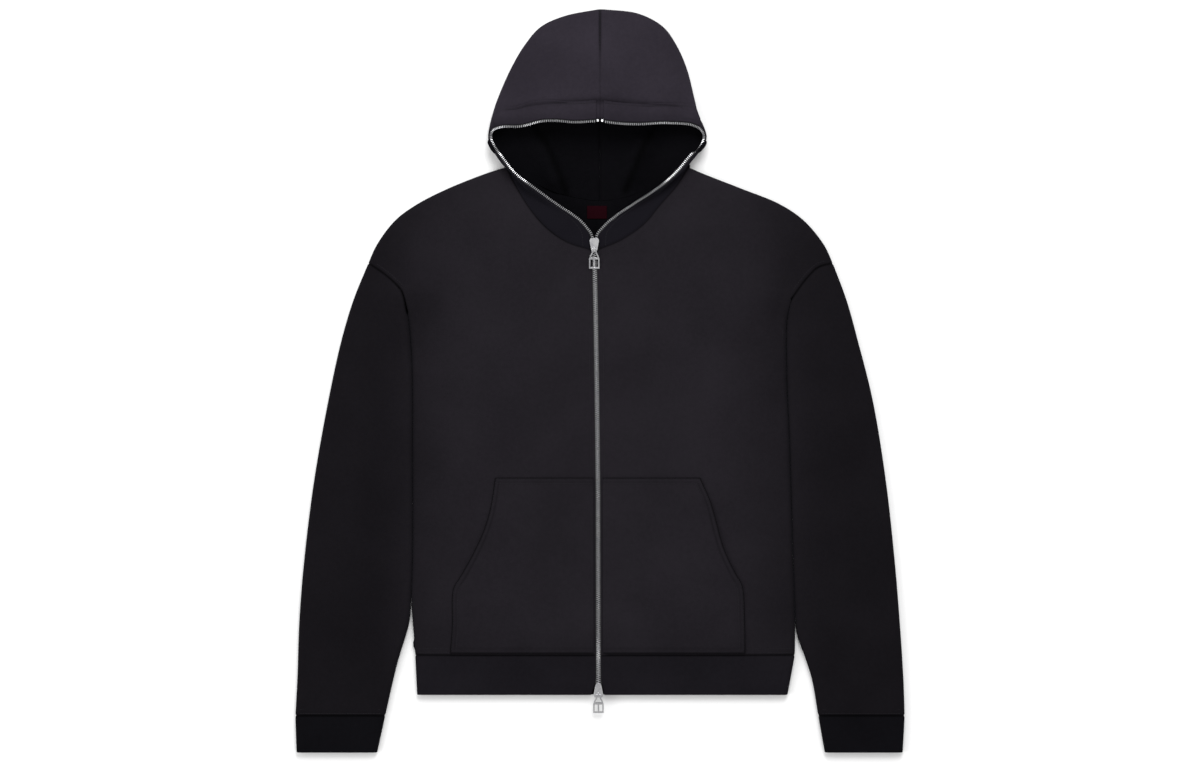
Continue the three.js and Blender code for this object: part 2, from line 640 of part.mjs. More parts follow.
// The strip sewn round the upper edge of the opening, on the hood
function hoodHem(side) {
  const shape = hoodShapes[side];
  const rows = [0.56, 0.6, 0.66, 0.73, 0.81, 0.9, 0.985].map((t) => {
    const long = shape.face(t).distanceTo(shape.rim(t));
    const share = Math.min(0.8, HOOD_HEM / long) * HOOD_TURN;
    return [0.02, 0.35, 0.7, 1].map((part) => shape.point(t, part * share));
  });
  const lift = 2 * SEAM + HOOD_HEM_T;
  return wall(rows, HOOD_HEM_T, { outward: sign[side], lift });
}

function pocket(side) {
  const edge = plan(POCKET[side]);
  const spots = edge.getSpacedPoints(200);
  const edgeX = (y) => {
    const i = Math.max(1, spots.findIndex((spot) => spot.y >= y));
    const [a, b] = [spots[i - 1], spots[i]];
    return mix(a.x, b.x, clamp01((y - a.y) / (b.y - a.y)));
  };
  const rows = Array.from({ length: 11 }, (_, j) => {
    const y = mix(POCKET[side][0][1], POCKET_TOP - 0.1, j / 10);
    const from = zipX(y) + sign[side] * POCKET_INNER;
    return Array.from({ length: 7 }, (__, i) => {
      const x = mix(from, edgeX(y), i / 6);
      return new THREE.Vector3(x, y, upperZ(x, y, bodyFar[side](x, y)));
    });
  });
  return wall(rows, POCKET_T, { outward: sign[side], lift: POCKET_GAP + POCKET_T });
}

function label() {
  const geometry = new THREE.BoxGeometry(LABEL.wide, LABEL.long, LABEL.thick);
  return { geometry, at: [LABEL.x, LABEL.y, CLOTH + SEAM + LABEL.thick / 2] };
}

// The zip's run on one side: points on the cloth's edge, the way out over it, and its normal
function zipRun(side, cloth) {
  const take = (piece, i) => piece.rows.map((row, j) => {
    const last = piece.rows[Math.max(0, j - 1)][i];
    const next = piece.rows[Math.min(piece.rows.length - 1, j + 1)][i];
    const up = piece.normals[j][i];
    const out = next.clone().sub(last).cross(up).normalize().multiplyScalar(-sign[side]);
    return { edge: row[i], out, up };
  });
  const hem = take(cloth.hem, side === 'left' ? 0 : cloth.hem.rows[0].length - 1);
  return [...hem, ...take(cloth[`front_${side}`], 0).slice(0, NECK_ROW), ...take(cloth[`hood_${side}`], 0)];
}

// The point of a run at the given x over the forehead
function runAt(run, x) {
  const [before, end] = run.slice(-2);
  const part = (x - before.edge.x) / (end.edge.x - before.edge.x);
  return { ...end, edge: before.edge.clone().lerp(end.edge, part) };
}

function strip(run, side, thick, lift) {
  const rows = run.map(({ edge, out }) => [SEAM, SEAM + CHAIN_HALF].map((far) => (
    edge.clone().addScaledVector(out, far))));
  const ups = run.map(({ up }) => [up, up]);
  return wall(rows, thick, { outward: -sign[side], lift, ups });
}

function zipSide(side, cloth) {
  const run = zipRun(side, cloth);
  const end = runAt(run, sign[side] * STOP.from);
  const made = strip([...run.slice(0, -1), end], side, CHAIN_T, CHAIN_LIFT);
  return trimmed(made.geometry, [cloth[`hood_${side}`]], SEAM);
}

// A piece cut back from its neighbours, with a gap over their faces
function trimmed(geometry, pieces, gap) {
  const rooms = pieces.flatMap((piece) => {
    const { rows, thick, options, normals } = piece;
    const room = wall(rows, thick + 2 * gap, { ...options, ups: normals, lift: gap });
    return [piece.geometry, room.geometry].map(solid);
  });
  return largest(rooms.reduce((left, room) => left.subtract(room), solid(geometry)));
}

function zipStop(side, cloth) {
  const run = zipRun(side, cloth);
  const ends = [STOP.from - SEAM, STOP.to].map((x) => runAt(run, sign[side] * x));
  return strip(ends, side, STOP.thick, CHAIN_LIFT + STOP.lift).geometry;
}

const box = (x, y, z, wide, long, tall) => (
  new THREE.BoxGeometry(wide, long, tall).translate(x, y, z + tall / 2));

// A slider about its pull's axis: two plates, the bridge that parts the chain, and the arch that
// holds the pull. It is wide at the end where the chain parts, and `partsNear` says that this end
// is the arch's.
function slider(partsNear, chainUnder) {
  const near = -ARCH.reach - ARCH.inset;
  const far = near + PLATE.length;
  const [low, high] = partsNear ? [PLATE.wide, PLATE.narrow] : [PLATE.narrow, PLATE.wide];
  const plateAt = (z) => {
    const shape = new THREE.Shape();
    const { corner, shoulder: from } = PLATE;
    const half = [[low / 2 - corner, near], [low / 2, near + from],
      [high / 2, far - from], [high / 2 - corner, far]];
    shape.moveTo(-half[0][0], half[0][1]);
    half.forEach(([x, y]) => shape.lineTo(x, y));
    [...half].reverse().slice(0, 3).forEach(([x, y]) => shape.lineTo(-x, y));
    return new THREE.ExtrudeGeometry(shape, { depth: PLATE.thick, bevelEnabled: false })
      .translate(0, 0, z);
  };
  const top = -AXIS_UP - PLATE.thick;
  const postY = partsNear ? near + POST.long / 2 : far - POST.long / 2;
  const post = ARCH.reach - ARCH.post / 2;
  return fused([
    plateAt(top),
    plateAt(top - chainUnder - PLATE.thick),
    box(0, postY, top - chainUnder - 1, POST.wide, POST.long, chainUnder + 2),
    box(0, post, top + 1, ARCH.wide, ARCH.post, ARCH.outer - top - 1),
    box(0, -post, top + 1, ARCH.wide, ARCH.post, ARCH.outer - top - 1),
    box(0, 0, ARCH.inner, ARCH.wide, ARCH.reach * 2, ARCH.outer - ARCH.inner),
  ]);
}

// A pull tab about its axis: a flaring frame with an eye and a lower window
function pull() {
  const { length, top, bottom, thick, bar, eyeEnd, cross } = PULL;
  const start = bar / 2;
  const halfAt = (y) => mix(top / 2, bottom / 2, smooth(2, cross, -y));
  const shape = new THREE.Shape();
  shape.moveTo(-top / 2, start);
  for (const y of [0, -4, -8, -cross]) {
    shape.lineTo(-halfAt(y), y);
  }
  shape.lineTo(-bottom / 2, -length);
  shape.lineTo(bottom / 2, -length);
  for (const y of [-cross, -8, -4, 0]) {
    shape.lineTo(halfAt(y), y);
  }
  shape.lineTo(top / 2, start);
  const window = (rows) => {
    const hole = new THREE.Path();
    const [[x, y], ...rest] = rows;
    hole.moveTo(x, y);
    rest.forEach(([nextX, nextY]) => hole.lineTo(nextX, nextY));
    shape.holes.push(hole);
  };
  window([[-1.5, -bar / 2], [1.5, -bar / 2], [1.7, -4.4], [halfAt(-eyeEnd) - bar, -eyeEnd],
    [-halfAt(-eyeEnd) + bar, -eyeEnd], [-1.7, -4.4]]);
  const side = bottom / 2 - bar;
  window([[-side, -cross - 0.6], [side, -cross - 0.6], [side, -length + bar], [-side, -length + bar]]);
  const frame = new THREE.ExtrudeGeometry(shape, { depth: thick, bevelEnabled: false })
    .translate(0, 0, -thick / 2);
  const middle = (-cross - length) / 2;
  return fused([frame, box(0, middle, -thick / 2 + 0.2, bar, length - cross - 0.5, thick - 0.4)]);
}

const garment = new THREE.Group();
garment.position.y = -(CUFF_END + CROWN) / 2; // the origin lies under the middle of the whole
const fleece = (color) => new THREE.MeshStandardMaterial({ color, roughness: 0.92, metalness: 0 });
const steel = new THREE.MeshStandardMaterial({ color: '#c9cacc', roughness: 0.28, metalness: 1 });
const BODY_COLOR = '#29282d';
const BAND_COLOR = '#222126';
const HOOD_COLOR = '#2c2b33';
const LABEL_COLOR = '#5c1219';

function add(name, geometry, material, place = [0, 0, 0]) {
  const mesh = new THREE.Mesh(geometry, material);
  mesh.name = name;
  mesh.position.set(...place);
  garment.add(mesh);
  return mesh;
}

const cloth = { hem: hemBand() };
for (const side of SIDES) {
  cloth[`hood_${side}`] = hood(side);
  const neckParts = ribParts(hoodShapes[side], 0).slice(0, RIM_POINT + 1).map((s) => s / HOOD_TURN);
  cloth[`front_${side}`] = front(side, neckParts);
  cloth[`hood_${side}`] = alongNeck(side, cloth[`hood_${side}`], cloth[`front_${side}`]);
}
const napeSpots = SIDES.map((side) => cloth[`hood_${side}`].rows[0].slice(RIM_POINT));
cloth.back = back([...napeSpots[0], ...napeSpots[1].reverse()]);
add('back', cloth.back.geometry, fleece(BODY_COLOR));
add('hem_band', cloth.hem.geometry, fleece(BAND_COLOR));
for (const side of SIDES) {
  add(`front_${side}`, cloth[`front_${side}`].geometry, fleece(BODY_COLOR));
  add(`hood_${side}`, cloth[`hood_${side}`].geometry, fleece(HOOD_COLOR));
  add(`hood_hem_${side}`, hoodHem(side).geometry, fleece(HOOD_COLOR));
  add(`sleeve_${side}`, sleeve(side).geometry, fleece(BODY_COLOR));
  add(`cuff_${side}`, cuff(side).geometry, fleece(BAND_COLOR));
  add(`pocket_${side}`, pocket(side).geometry, fleece(BODY_COLOR));
  add(`zip_${side}`, zipSide(side, cloth), steel);
  add(`zip_stop_${side}`, zipStop(side, cloth), steel);
}
const neckLabel = label();
add('neck_label', neckLabel.geometry, fleece(LABEL_COLOR), neckLabel.at);

// Heights of the chain under each slider
const CHAIN_GAP = 0.3;
const SLOPE_ROOM = { both: 1.2, top: 0.5, bottom: 0.9 }; // more room, as the chain slopes under it
const TOP_MIDDLE = 4; // from a slider's axis to the place whose X it has
const BOTTOM_MIDDLE = 8;
const chainRoom = CHAIN_T + 2 * CHAIN_GAP + SLOPE_ROOM.both;
const overChain = CHAIN_LIFT + CHAIN_GAP + PLATE.thick + AXIS_UP;
const topPlace = [
  zipX(TOP_AXIS_Y + TOP_MIDDLE), TOP_AXIS_Y, BODY_Z + overChain + SLOPE_ROOM.top];
const bottomPlace = [
  zipX(BOTTOM_AXIS_Y + BOTTOM_MIDDLE), BOTTOM_AXIS_Y, HEM_Z + overChain + SLOPE_ROOM.bottom];
add('slider_top', slider(false, chainRoom), steel, topPlace);
add('slider_bottom', slider(true, chainRoom), steel, bottomPlace);
const rad = THREE.MathUtils.degToRad;
add('pull_top', pull(), steel, topPlace).rotation.x = rad(TOP_DROOP);
add('pull_bottom', pull(), steel, bottomPlace).rotation.x = rad(BOTTOM_DROOP);

export default garment;
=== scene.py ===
# Zip up hoodie laid flat on its back, dressed over its solids and seen from straight above.
# X runs to the picture's right, Y from the hem to the hood, Z up off the surface it lies on.
# Shapes are worked out in millimetres and written in metres.
import math

import bmesh
import bpy
import numpy as np
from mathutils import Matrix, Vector


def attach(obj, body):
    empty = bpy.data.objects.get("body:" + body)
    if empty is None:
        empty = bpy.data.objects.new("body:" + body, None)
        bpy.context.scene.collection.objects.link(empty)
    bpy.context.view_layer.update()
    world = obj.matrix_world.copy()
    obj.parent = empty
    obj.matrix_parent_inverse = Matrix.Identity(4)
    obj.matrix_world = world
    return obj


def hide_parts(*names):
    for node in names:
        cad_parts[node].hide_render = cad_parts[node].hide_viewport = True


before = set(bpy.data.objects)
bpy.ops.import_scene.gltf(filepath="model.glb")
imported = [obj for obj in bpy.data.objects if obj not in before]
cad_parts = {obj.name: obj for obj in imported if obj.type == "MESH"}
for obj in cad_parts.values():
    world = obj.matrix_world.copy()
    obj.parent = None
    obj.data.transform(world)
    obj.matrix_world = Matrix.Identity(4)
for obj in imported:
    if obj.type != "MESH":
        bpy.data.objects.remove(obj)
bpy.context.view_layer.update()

MM = 0.001

# Picture: what its frame takes in, and where its middle lies
FRAME_WIDE = 1.56
FRAME_MIDDLE = Vector((0.0, -0.0044, 0.012))
LENS = 100.0
SENSOR = 36.0
FLOOR_HALF = 6.0

# Cloth
CLOTH = 2.4  # wall of the brushed fleece
BAND = 2.6  # wall of the folded cuffs and hem
SEAM = 0.04  # gap between two sewn pieces
FOLD_R = 7.0  # radius in plan over which a folded edge turns
FOLD_Z = 6.2  # height of the middle of a folded edge
EDGE_Z = 12.5  # height of the upper layer just inside a folded edge
BODY_Z = 24.0  # height of the upper layer in the middle of body and sleeves
SOFT = 75.0  # distance from an edge over which the upper layer rises to BODY_Z
HEM_Z = 11.4  # height of the upper layer at the hem's lower edge
RESTING = 0.05  # points lower than this lie on the surface

# Heights of places along Y
HEM_END = -407.0
HEM_SEAM = -355.0
CUFF_END = -482.0
CUFF_SEAM = -434.0
NECK_FRONT = 171.6
NAPE = 236.0
CROWN = 485.6
UNDERARM = -75.5
CREASE_TOP = 124.0  # where the crease between sleeve and body begins
CREASE_FULL = 70.0  # where it is as deep as a folded edge
MIDDLE_Y = (CUFF_END + CROWN) / 2  # lies over the origin

SIDES = ("left", "right")
SIGN = {"left": -1.0, "right": 1.0}

# Outline of shoulder and sleeve from the neck down to the cuff
OUTER = {
    "left": [(-121, 280), (-144, 273), (-197.5, 252), (-238, 231.5), (-266.5, 210.5),
             (-290, 179.5), (-301.5, 154.7), (-321, 106.5), (-336.5, 54.5), (-353.5, -23.5),
             (-372, -127.5), (-385, -231.5), (-391.3, -309.5), (-394, -387.5), (-396.5, CUFF_SEAM)],
    "right": [(114.5, 280), (130, 273), (183.5, 252), (234, 231.5), (265, 210.5),
              (291, 179.5), (303, 154.7), (321, 106.5), (335.5, 54.5), (355, -23.5),
              (372, -127.5), (383.5, -231.5), (390, -309.5), (395, -387.5), (396.5, CUFF_SEAM)],
}
SHOULDER_ROWS = 7  # points of OUTER that belong to the shoulder

ARMHOLE = {
    "left": [(-301.5, 154.7), (-282, 141.7), (-268, 130), (-257.5, 118), (-250.5, 90),
             (-245.7, 44), (-243.8, -13), (-243.8, -75.5)],
    "right": [(303, 154.7), (283.5, 149), (270.5, 137), (260, 124), (249, 108),
              (243.5, 80), (243, 8), (246.5, -75.5)],
}
SIDE = {
    "left": [(-243.8, -75.5), (-243.8, -231.5), (-245.5, -283), (-243, -322), (-240.5, HEM_SEAM)],
    "right": [(246.5, -75.5), (251, -222), (253.5, -294), (254, -330), (253.5, HEM_SEAM)],
}
INSEAM = {
    "left": [(-243.8, -75.5), (-243.8, -231.5), (-245.7, -283), (-248, -312), (-262.5, -361.5),
             (-269, -387.5), (-279.5, CUFF_SEAM)],
    "right": [(246.5, -75.5), (251, -222), (253.5, -294), (255.5, -325), (268, -361.5),
              (276, -387.5), (284, CUFF_SEAM)],
}
HEM_CORNER = {"left": (-238, HEM_END), "right": (244, HEM_END)}
CUFF_OUTER = {"left": (-395, CUFF_END), "right": (394, CUFF_END)}
CUFF_INNER = {"left": (-290, CUFF_END), "right": (292.5, CUFF_END)}

# Zip: line of its middle on the body
ZIP_Y = [HEM_END, -150, -20, 100, NECK_FRONT]
ZIP_X = [-2, -2.6, -3.9, -5.8, -7.4]
ZIP_EDGE = 3.55  # from the zip's middle to the cloth
STOP_FROM = 4.6  # where the top stops begin, from the middle of the forehead

# Edge of the hood's opening, outline of the hood, and the seam round the neck
FACE = {
    "left": [(-13, 190), (-19.5, 199.5), (-28.5, 209), (-59.6, 230), (-88.5, 251), (-112, 269.5),
             (-127.5, 289), (-139, 305), (-144, 318), (-141, 328), (-128, 332.8), (-102.7, 333.3),
             (-76.7, 339), (-57, 339.8), (-32.5, 337.6), (-SEAM / 2, 339.2)],
    "right": [(-1.8, 190), (5.5, 199), (16, 209), (47, 230), (78.5, 250.8), (101.5, 271.5),
              (119.5, 293), (131.5, 304), (137.3, 317), (134, 327.5), (121, 335), (83, 337.2),
              (53, 335.3), (23.5, 336), (SEAM / 2, 339.2)],
}
FACE_CORNER = {"left": (-144, 318), "right": (137.3, 317)}
HOOD_SIDE = {
    "left": [(-121, 280), (-130.5, 293.5), (-140.5, 304), (-145, 319), (-143.5, 334),
             (-140.5, 346), (-134, 366.5), (-116, 408), (-97.5, 439.5), (-77, 462.5),
             (-46, 476.5), (-SEAM / 2, CROWN)],
    "right": [(114.5, 280), (123.5, 293.5), (132.5, 304), (138.5, 319), (134.5, 334),
              (128.5, 346), (123.5, 366.5), (113, 408), (99, 439.5), (82, 462.5),
              (50, 479.5), (SEAM / 2, CROWN)],
}
NECK_SEAM = {
    "left": [(-121, 280), (-109, 255), (-88.5, 222), (-69, 200), (-43, 182)],
    "right": [(114.5, 280), (99, 255), (77.5, 230), (57, 205.5), (27, 184.5)],
}
# Height of the opening's edge from the front of the neck (0) to the middle of the forehead (1)
FACE_T = [0, 0.1, 0.3, 0.42, 0.5, 0.62, 0.8, 1]
FACE_Z = [BODY_Z, 24.5, 33, 27, 17, 29, 42, 48]
HOOD_HEM = 25.0  # width of the strip along the upper edge of the hood's opening
HOOD_HEM_T = 1.2  # how far it stands up
HOOD_TURN = 0.55  # share of a hood's rib that lies in the upper layer
CORNER = 0.5  # t at the corner of the opening

# Outer edge of each pocket from the hem up
POCKET_T = 2.0
POCKET_GAP = 1.0
POCKET_TOP = -124.0
POCKET_INNER = 6.0  # from the zip's middle
POCKET_LOW = HEM_SEAM + 3
POCKET = {
    "left": [(-194.5, POCKET_LOW), (-191.5, -318), (-190, -268), (-181.5, -253), (-164, -221),
             (-150, -190), (-141.5, -160), (-136, POCKET_TOP)],
    "right": [(188.5, POCKET_LOW), (187.5, -310), (184.5, -264), (176, -248), (161, -216),
              (144.5, -158), (130, POCKET_TOP)],
}


def smooth(low, high, value):
    part = np.clip((np.asarray(value, float) - low) / (high - low), 0, 1)
    return part * part * (3 - 2 * part)


def mix(a, b, part):
    return a + (b - a) * part


CLOSE = 12.0  # distance from a line within which it is measured finely


class Line:
    """A smooth line in plan through points, read by its share of the length."""

    def __init__(self, points, steps=30):
        knots = np.array(points, float)
        first = 2 * knots[0] - knots[1]
        last = 2 * knots[-1] - knots[-2]
        knots = np.vstack([first, knots, last])
        share = np.linspace(0, 1, steps, endpoint=False)[:, None]
        runs = []
        for i in range(1, len(knots) - 2):
            a, b, c, d = knots[i - 1:i + 3]
            before, here, after = (math.sqrt(math.dist(p, q)) for p, q in ((a, b), (b, c), (c, d)))
            leave = ((b - a) / before - (c - a) / (before + here) + (c - b) / here) * here
            reach = ((c - b) / here - (d - b) / (here + after) + (d - c) / after) * here
            square = -3 * b + 3 * c - 2 * leave - reach
            cube = 2 * b - 2 * c + leave + reach
            runs.append(b + share * (leave + share * (square + share * cube)))
        self.spots = np.vstack([*runs, knots[-2][None]])
        steps_long = np.linalg.norm(np.diff(self.spots, axis=0), axis=1)
        gone = np.concatenate([[0], np.cumsum(steps_long)])
        self.length = gone[-1]
        self.shares = gone / gone[-1]

    def at(self, part):
        part = np.clip(part, 0, 1)
        return np.stack([np.interp(part, self.shares, self.spots[:, k]) for k in (0, 1)], axis=-1)

    def beside(self, part, amount):
        """Points moved sideways, so that sewn pieces keep their gap."""
        ahead = self.at(np.minimum(1, part + 0.002)) - self.at(np.maximum(0, part - 0.002))
        ahead /= np.maximum(1e-9, np.linalg.norm(ahead, axis=-1, keepdims=True))
        return self.at(part) + amount * np.stack([-ahead[..., 1], ahead[..., 0]], axis=-1)

    def near(self, x, y, count=120):
        """Distance of points from the line, and the share of the length where it is nearest."""
        x, y = np.asarray(x, float), np.asarray(y, float)
        best, where = self.scanned(x, y, count)
        close = best < CLOSE
        if count > 50 and close.any():
            best[close], where[close] = self.scanned(x[close], y[close], int(self.length / 1.5))
        return best, where

    def scanned(self, x, y, count):
        """What `near` gives, measured to a chain of `count` straight steps."""
        shares = np.linspace(0, 1, count + 1)
        spots = self.at(shares)
        best = np.full(np.shape(x), np.inf)
        where = np.zeros(np.shape(x))
        for i in range(count):
            (ax, ay), (bx, by) = spots[i], spots[i + 1]
            dx, dy = bx - ax, by - ay
            part = np.clip(((x - ax) * dx + (y - ay) * dy) / (dx * dx + dy * dy), 0, 1)
            far = np.hypot(x - ax - part * dx, y - ay - part * dy)
            closer = far < best
            best = np.where(closer, far, best)
            where = np.where(closer, (i + part) / count, where)
        return best, where

    def far(self, x, y, count=120):
        return self.near(x, y, count)[0]

    def share_near(self, spot):
        return self.scanned(np.array([spot[0]]), np.array([spot[1]]), 400)[1].item()


def turn(far, radius=FOLD_R):
    """Height of a quarter turn, 0 at the edge and 1 at the distance `radius` inside it."""
    left = 1 - np.clip(np.asarray(far) / radius, 0, 1)
    return np.sqrt(1 - left * left)


def above(points, height):
    return [p for p in points if p[1] < height]


def zip_x(y):
    return np.interp(y, ZIP_Y, ZIP_X)


shoulder = {s: Line(OUTER[s][:SHOULDER_ROWS]) for s in SIDES}
outline = {s: Line(OUTER[s][SHOULDER_ROWS - 1:]) for s in SIDES}
armhole = {s: Line(ARMHOLE[s]) for s in SIDES}
inseam = {s: Line(INSEAM[s]) for s in SIDES}
side_seam = {s: Line(SIDE[s]) for s in SIDES}
outline_rule = {s: Line([*OUTER[s], CUFF_OUTER[s]]) for s in SIDES}
sleeve_rule = {
    s: Line([*above(ARMHOLE[s], CREASE_TOP), *INSEAM[s][1:], CUFF_INNER[s]]) for s in SIDES
}
body_rule = {
    s: Line([*above(ARMHOLE[s], CREASE_TOP), *SIDE[s][1:], HEM_CORNER[s]]) for s in SIDES
}
neck_seam = {
    s: Line([*NECK_SEAM[s], (zip_x(NECK_FRONT) + SIGN[s] * ZIP_EDGE, NECK_FRONT)]) for s in SIDES
}


def plan(grid):
    return grid[..., 0], grid[..., 1]


def edges_far(rule, side, x, y):
    """Distance from a piece's own rule, and from the garment's outline."""
    return rule[side].far(x, y), outline_rule[side].far(x, y)


def by_side(rules, x, y):
    """Distance from the rule of the side on which each point lies."""
    return np.where(x < 0, rules["left"].far(x, y), rules["right"].far(x, y))


def upper_z(x, y, near, outer_far):
    """Height of the outer face of the upper layer of body and sleeves."""
    deep = 1 - smooth(CREASE_FULL, CREASE_TOP, y)
    edge = turn(outer_far) * (1 - deep * (1 - turn(near)))
    soft = smooth(0, SOFT, outer_far) * (1 - deep * (1 - smooth(0, SOFT, near)))
    top = mix(HEM_Z, BODY_Z, smooth(HEM_END + 18, HEM_SEAM + 40, y))
    rise = (np.minimum(EDGE_Z, top) - FOLD_Z) * edge
    return FOLD_Z + rise + np.maximum(0, top - EDGE_Z) * soft


def lower_z(y, near, outer_far):
    """Height of the outer face of the lower layer, which lies on the surface."""
    closed = 1 - smooth(UNDERARM, UNDERARM + 20, y)
    return FOLD_Z * (1 - turn(outer_far) * (1 - closed * (1 - turn(near))))


SEAM_STEPS = [0, 0.35, 0.8, 1.4, 2.2, 3.2, 4.6]
FOLD_STEPS = [0, 0.12, 0.35, 0.7, 1.2, 1.9, 2.8, 4.0, 5.4, 7.0]


def spread(length, pitch, close=(True, True), fold=(False, False)):
    """Shares from 0 to 1 along a row of the given length. They lie close together at a seam, and
    closer still where the row turns over a fold."""
    first = FOLD_STEPS if fold[0] else (SEAM_STEPS if close[0] else [0])
    last = FOLD_STEPS if fold[1] else (SEAM_STEPS if close[1] else [0])
    start = np.array(first, float)
    end = length - np.array(last, float)[::-1]
    count = max(2, int(round((end[0] - start[-1]) / pitch)))
    between = np.linspace(start[-1], end[0], count + 1)[1:-1]
    return np.concatenate([start, between, end]) / length


# Folds

# The creases the laid cloth shows: the piece, the line in plan, half the width of the soft trough
# or ridge, and its depth, which is positive for a ridge.
FOLDS = [
    ("left", [(-266, 160), (-260, 130), (-253, 101), (-246, 60), (-243, 10)], 17, -3.4),
    ("left", [(-236, 120), (-228, 70), (-222, 10), (-220, -60)], 20, 1.5),
    ("left", [(-276, 100), (-272, 50), (-268, -10)], 14, 1.2),
    ("right", [(262, 166), (255, 150), (248, 132), (243, 110), (240, 60)], 17, -3.4),
    ("right", [(230, 124), (224, 70), (219, 10), (219, -60)], 20, 1.5),
    ("right", [(274, 100), (271, 50), (269, -10)], 14, 1.2),
    ("hood", [(-139, 344.5), (-116, 352.3), (-77, 357.8), (-6, 362), (62, 357.8), (103, 355),
              (129, 340.6)], 2.6, -2.4),
    ("hood", [(-128, 354), (-100, 362), (-60, 366), (0, 370), (60, 366), (108, 362)], 6, 2.6),
    ("hood", [(-122, 342), (-77, 348), (-6, 350.5), (62, 348), (108, 344)], 8, 1.2),
    ("hood", [(0, 484), (1, 460), (2.6, 432)], 5, -1.1),
    ("hood", [(-10, 387), (2, 389.5), (14, 389)], 11, -2.4),
    ("hood", [(-12, 369), (8, 372.5), (29, 379)], 5, 1.9),
    ("hood", [(68, 412), (82, 397), (96, 384)], 17, -1.8),
    ("hood", [(-130, 383), (-119, 391), (-106, 400)], 6, -1.3),
    ("hood", [(-84, 282), (-61, 250), (-30, 228), (-19, 214)], 5.5, -2.0),
    ("hood", [(-80, 226), (-58, 208), (-42, 195)], 11, 2.0),
    ("hood", [(-36, 216), (-34, 200), (-33, 184)], 4, -1.6),
    ("hood", [(76, 268), (50, 245), (20, 222)], 5, -1.7),
    ("hood", [(18, 224), (20, 208), (24, 194)], 4, -1.5),
    ("lining", [(-84, 321), (-68, 295), (-57, 269), (-48, 247)], 15, 11.0),
    ("lining", [(71, 321), (53, 302), (42, 278), (36, 250)], 15, 11.0),
]


def folds_at(x, y, strokes):
    """Height that soft troughs and ridges add at each point."""
    total = np.zeros(np.shape(x))
    for line, half, depth in strokes:
        far, share = line.near(x, y, 40)
        fade = np.minimum(1, 4 * np.minimum(share, 1 - share) + 0.12)
        total = total + depth * fade * np.exp(-((far / half) ** 2))
    return total


def strokes_of(names):
    return [(Line(points), half, depth) for name, points, half, depth in FOLDS if name in names]


# Walls of cloth

RIM_ROUND = 0.3  # share of a wall's thickness by which its rims are rounded


def normals_of(grid, ring, outward):
    """Normals of a grid of points that face away from the wall."""
    if ring:
        across = np.roll(grid, -1, axis=1) - np.roll(grid, 1, axis=1)
    else:
        across = np.gradient(grid, axis=1)
    along = np.gradient(grid, axis=0)
    normals = np.cross(across, along) * outward
    return normals / np.maximum(np.linalg.norm(normals, axis=2, keepdims=True), 1e-9)


SEAM_DRAWN = (0.95, 1.5)  # how deep a seam draws the cloth in, and over what half width; the depth also sets the painted seam shade


def sunk_at(grid, lines, deep, half):
    """Depth to which the cloth's face is drawn in at each point by the seams along the lines."""
    x, y = plan(grid)
    return sum(deep * np.exp(-((line.far(x, y, 80) / half) ** 2)) for line in lines)


def quads(rows, wide, ring):
    """Faces of a grid, wound so that they face along its across-by-along normal."""
    j, i = np.meshgrid(np.arange(rows - 1), np.arange(wide if ring else wide - 1), indexing="ij")
    right = (i + 1) % wide
    return np.stack([j * wide + i, j * wide + right, (j + 1) * wide + right, (j + 1) * wide + i],
                    axis=-1).reshape(-1, 4)


def wall(grid, thick, ring=False, outward=1.0, normals=None, lift=0.0, sunk=0.0,
         crease=0.0):
    """A closed wall: outer points, and inner points moved in by its thickness, with soft rims.
    The outer face lies deeper by `sunk`. Painted shade darkens both faces by the crease share, and
    the outer face also where it is sunk."""
    rows, wide = grid.shape[:2]
    ups = normals_of(grid, ring, outward) if normals is None else normals
    rim = np.zeros((rows, wide))
    rim[[0, -1], :] = 1
    if not ring:
        rim[:, [0, -1]] = 1
    outer_depth = lift - np.maximum(RIM_ROUND * thick * rim, sunk)
    inner_depth = lift - thick + RIM_ROUND * thick * rim
    outer = grid + ups * outer_depth[..., None]
    inner = grid + ups * inner_depth[..., None]
    spots = np.concatenate([outer.reshape(-1, 3), inner.reshape(-1, 3)])
    size = rows * wide
    flat = quads(rows, wide, ring)
    faces = [flat, flat[:, ::-1] + size]
    i = np.arange(wide if ring else wide - 1)
    right = (i + 1) % wide
    top = (rows - 1) * wide
    faces.append(np.stack([i, i + size, right + size, right], axis=-1))
    faces.append(np.stack([i + top, right + top, right + top + size, i + top + size], axis=-1))
    if not ring:
        j = np.arange(rows - 1) * wide
        far_end = j + wide - 1
        faces.append(np.stack([j, j + wide, j + wide + size, j + size], axis=-1))
        faces.append(np.stack([far_end, far_end + size, far_end + wide + size, far_end + wide],
                              axis=-1))
    faces = np.concatenate(faces)
    # Painted crease and seam shade: the share by which the fleece's colour is darkened on each
    # face.
    painted_shade = np.zeros((2, rows, wide)) + crease
    painted_shade[0] = np.maximum(painted_shade[0], sunk)
    return spots, faces if outward > 0 else faces[:, ::-1], len(flat), np.clip(painted_shade, 0, 1)


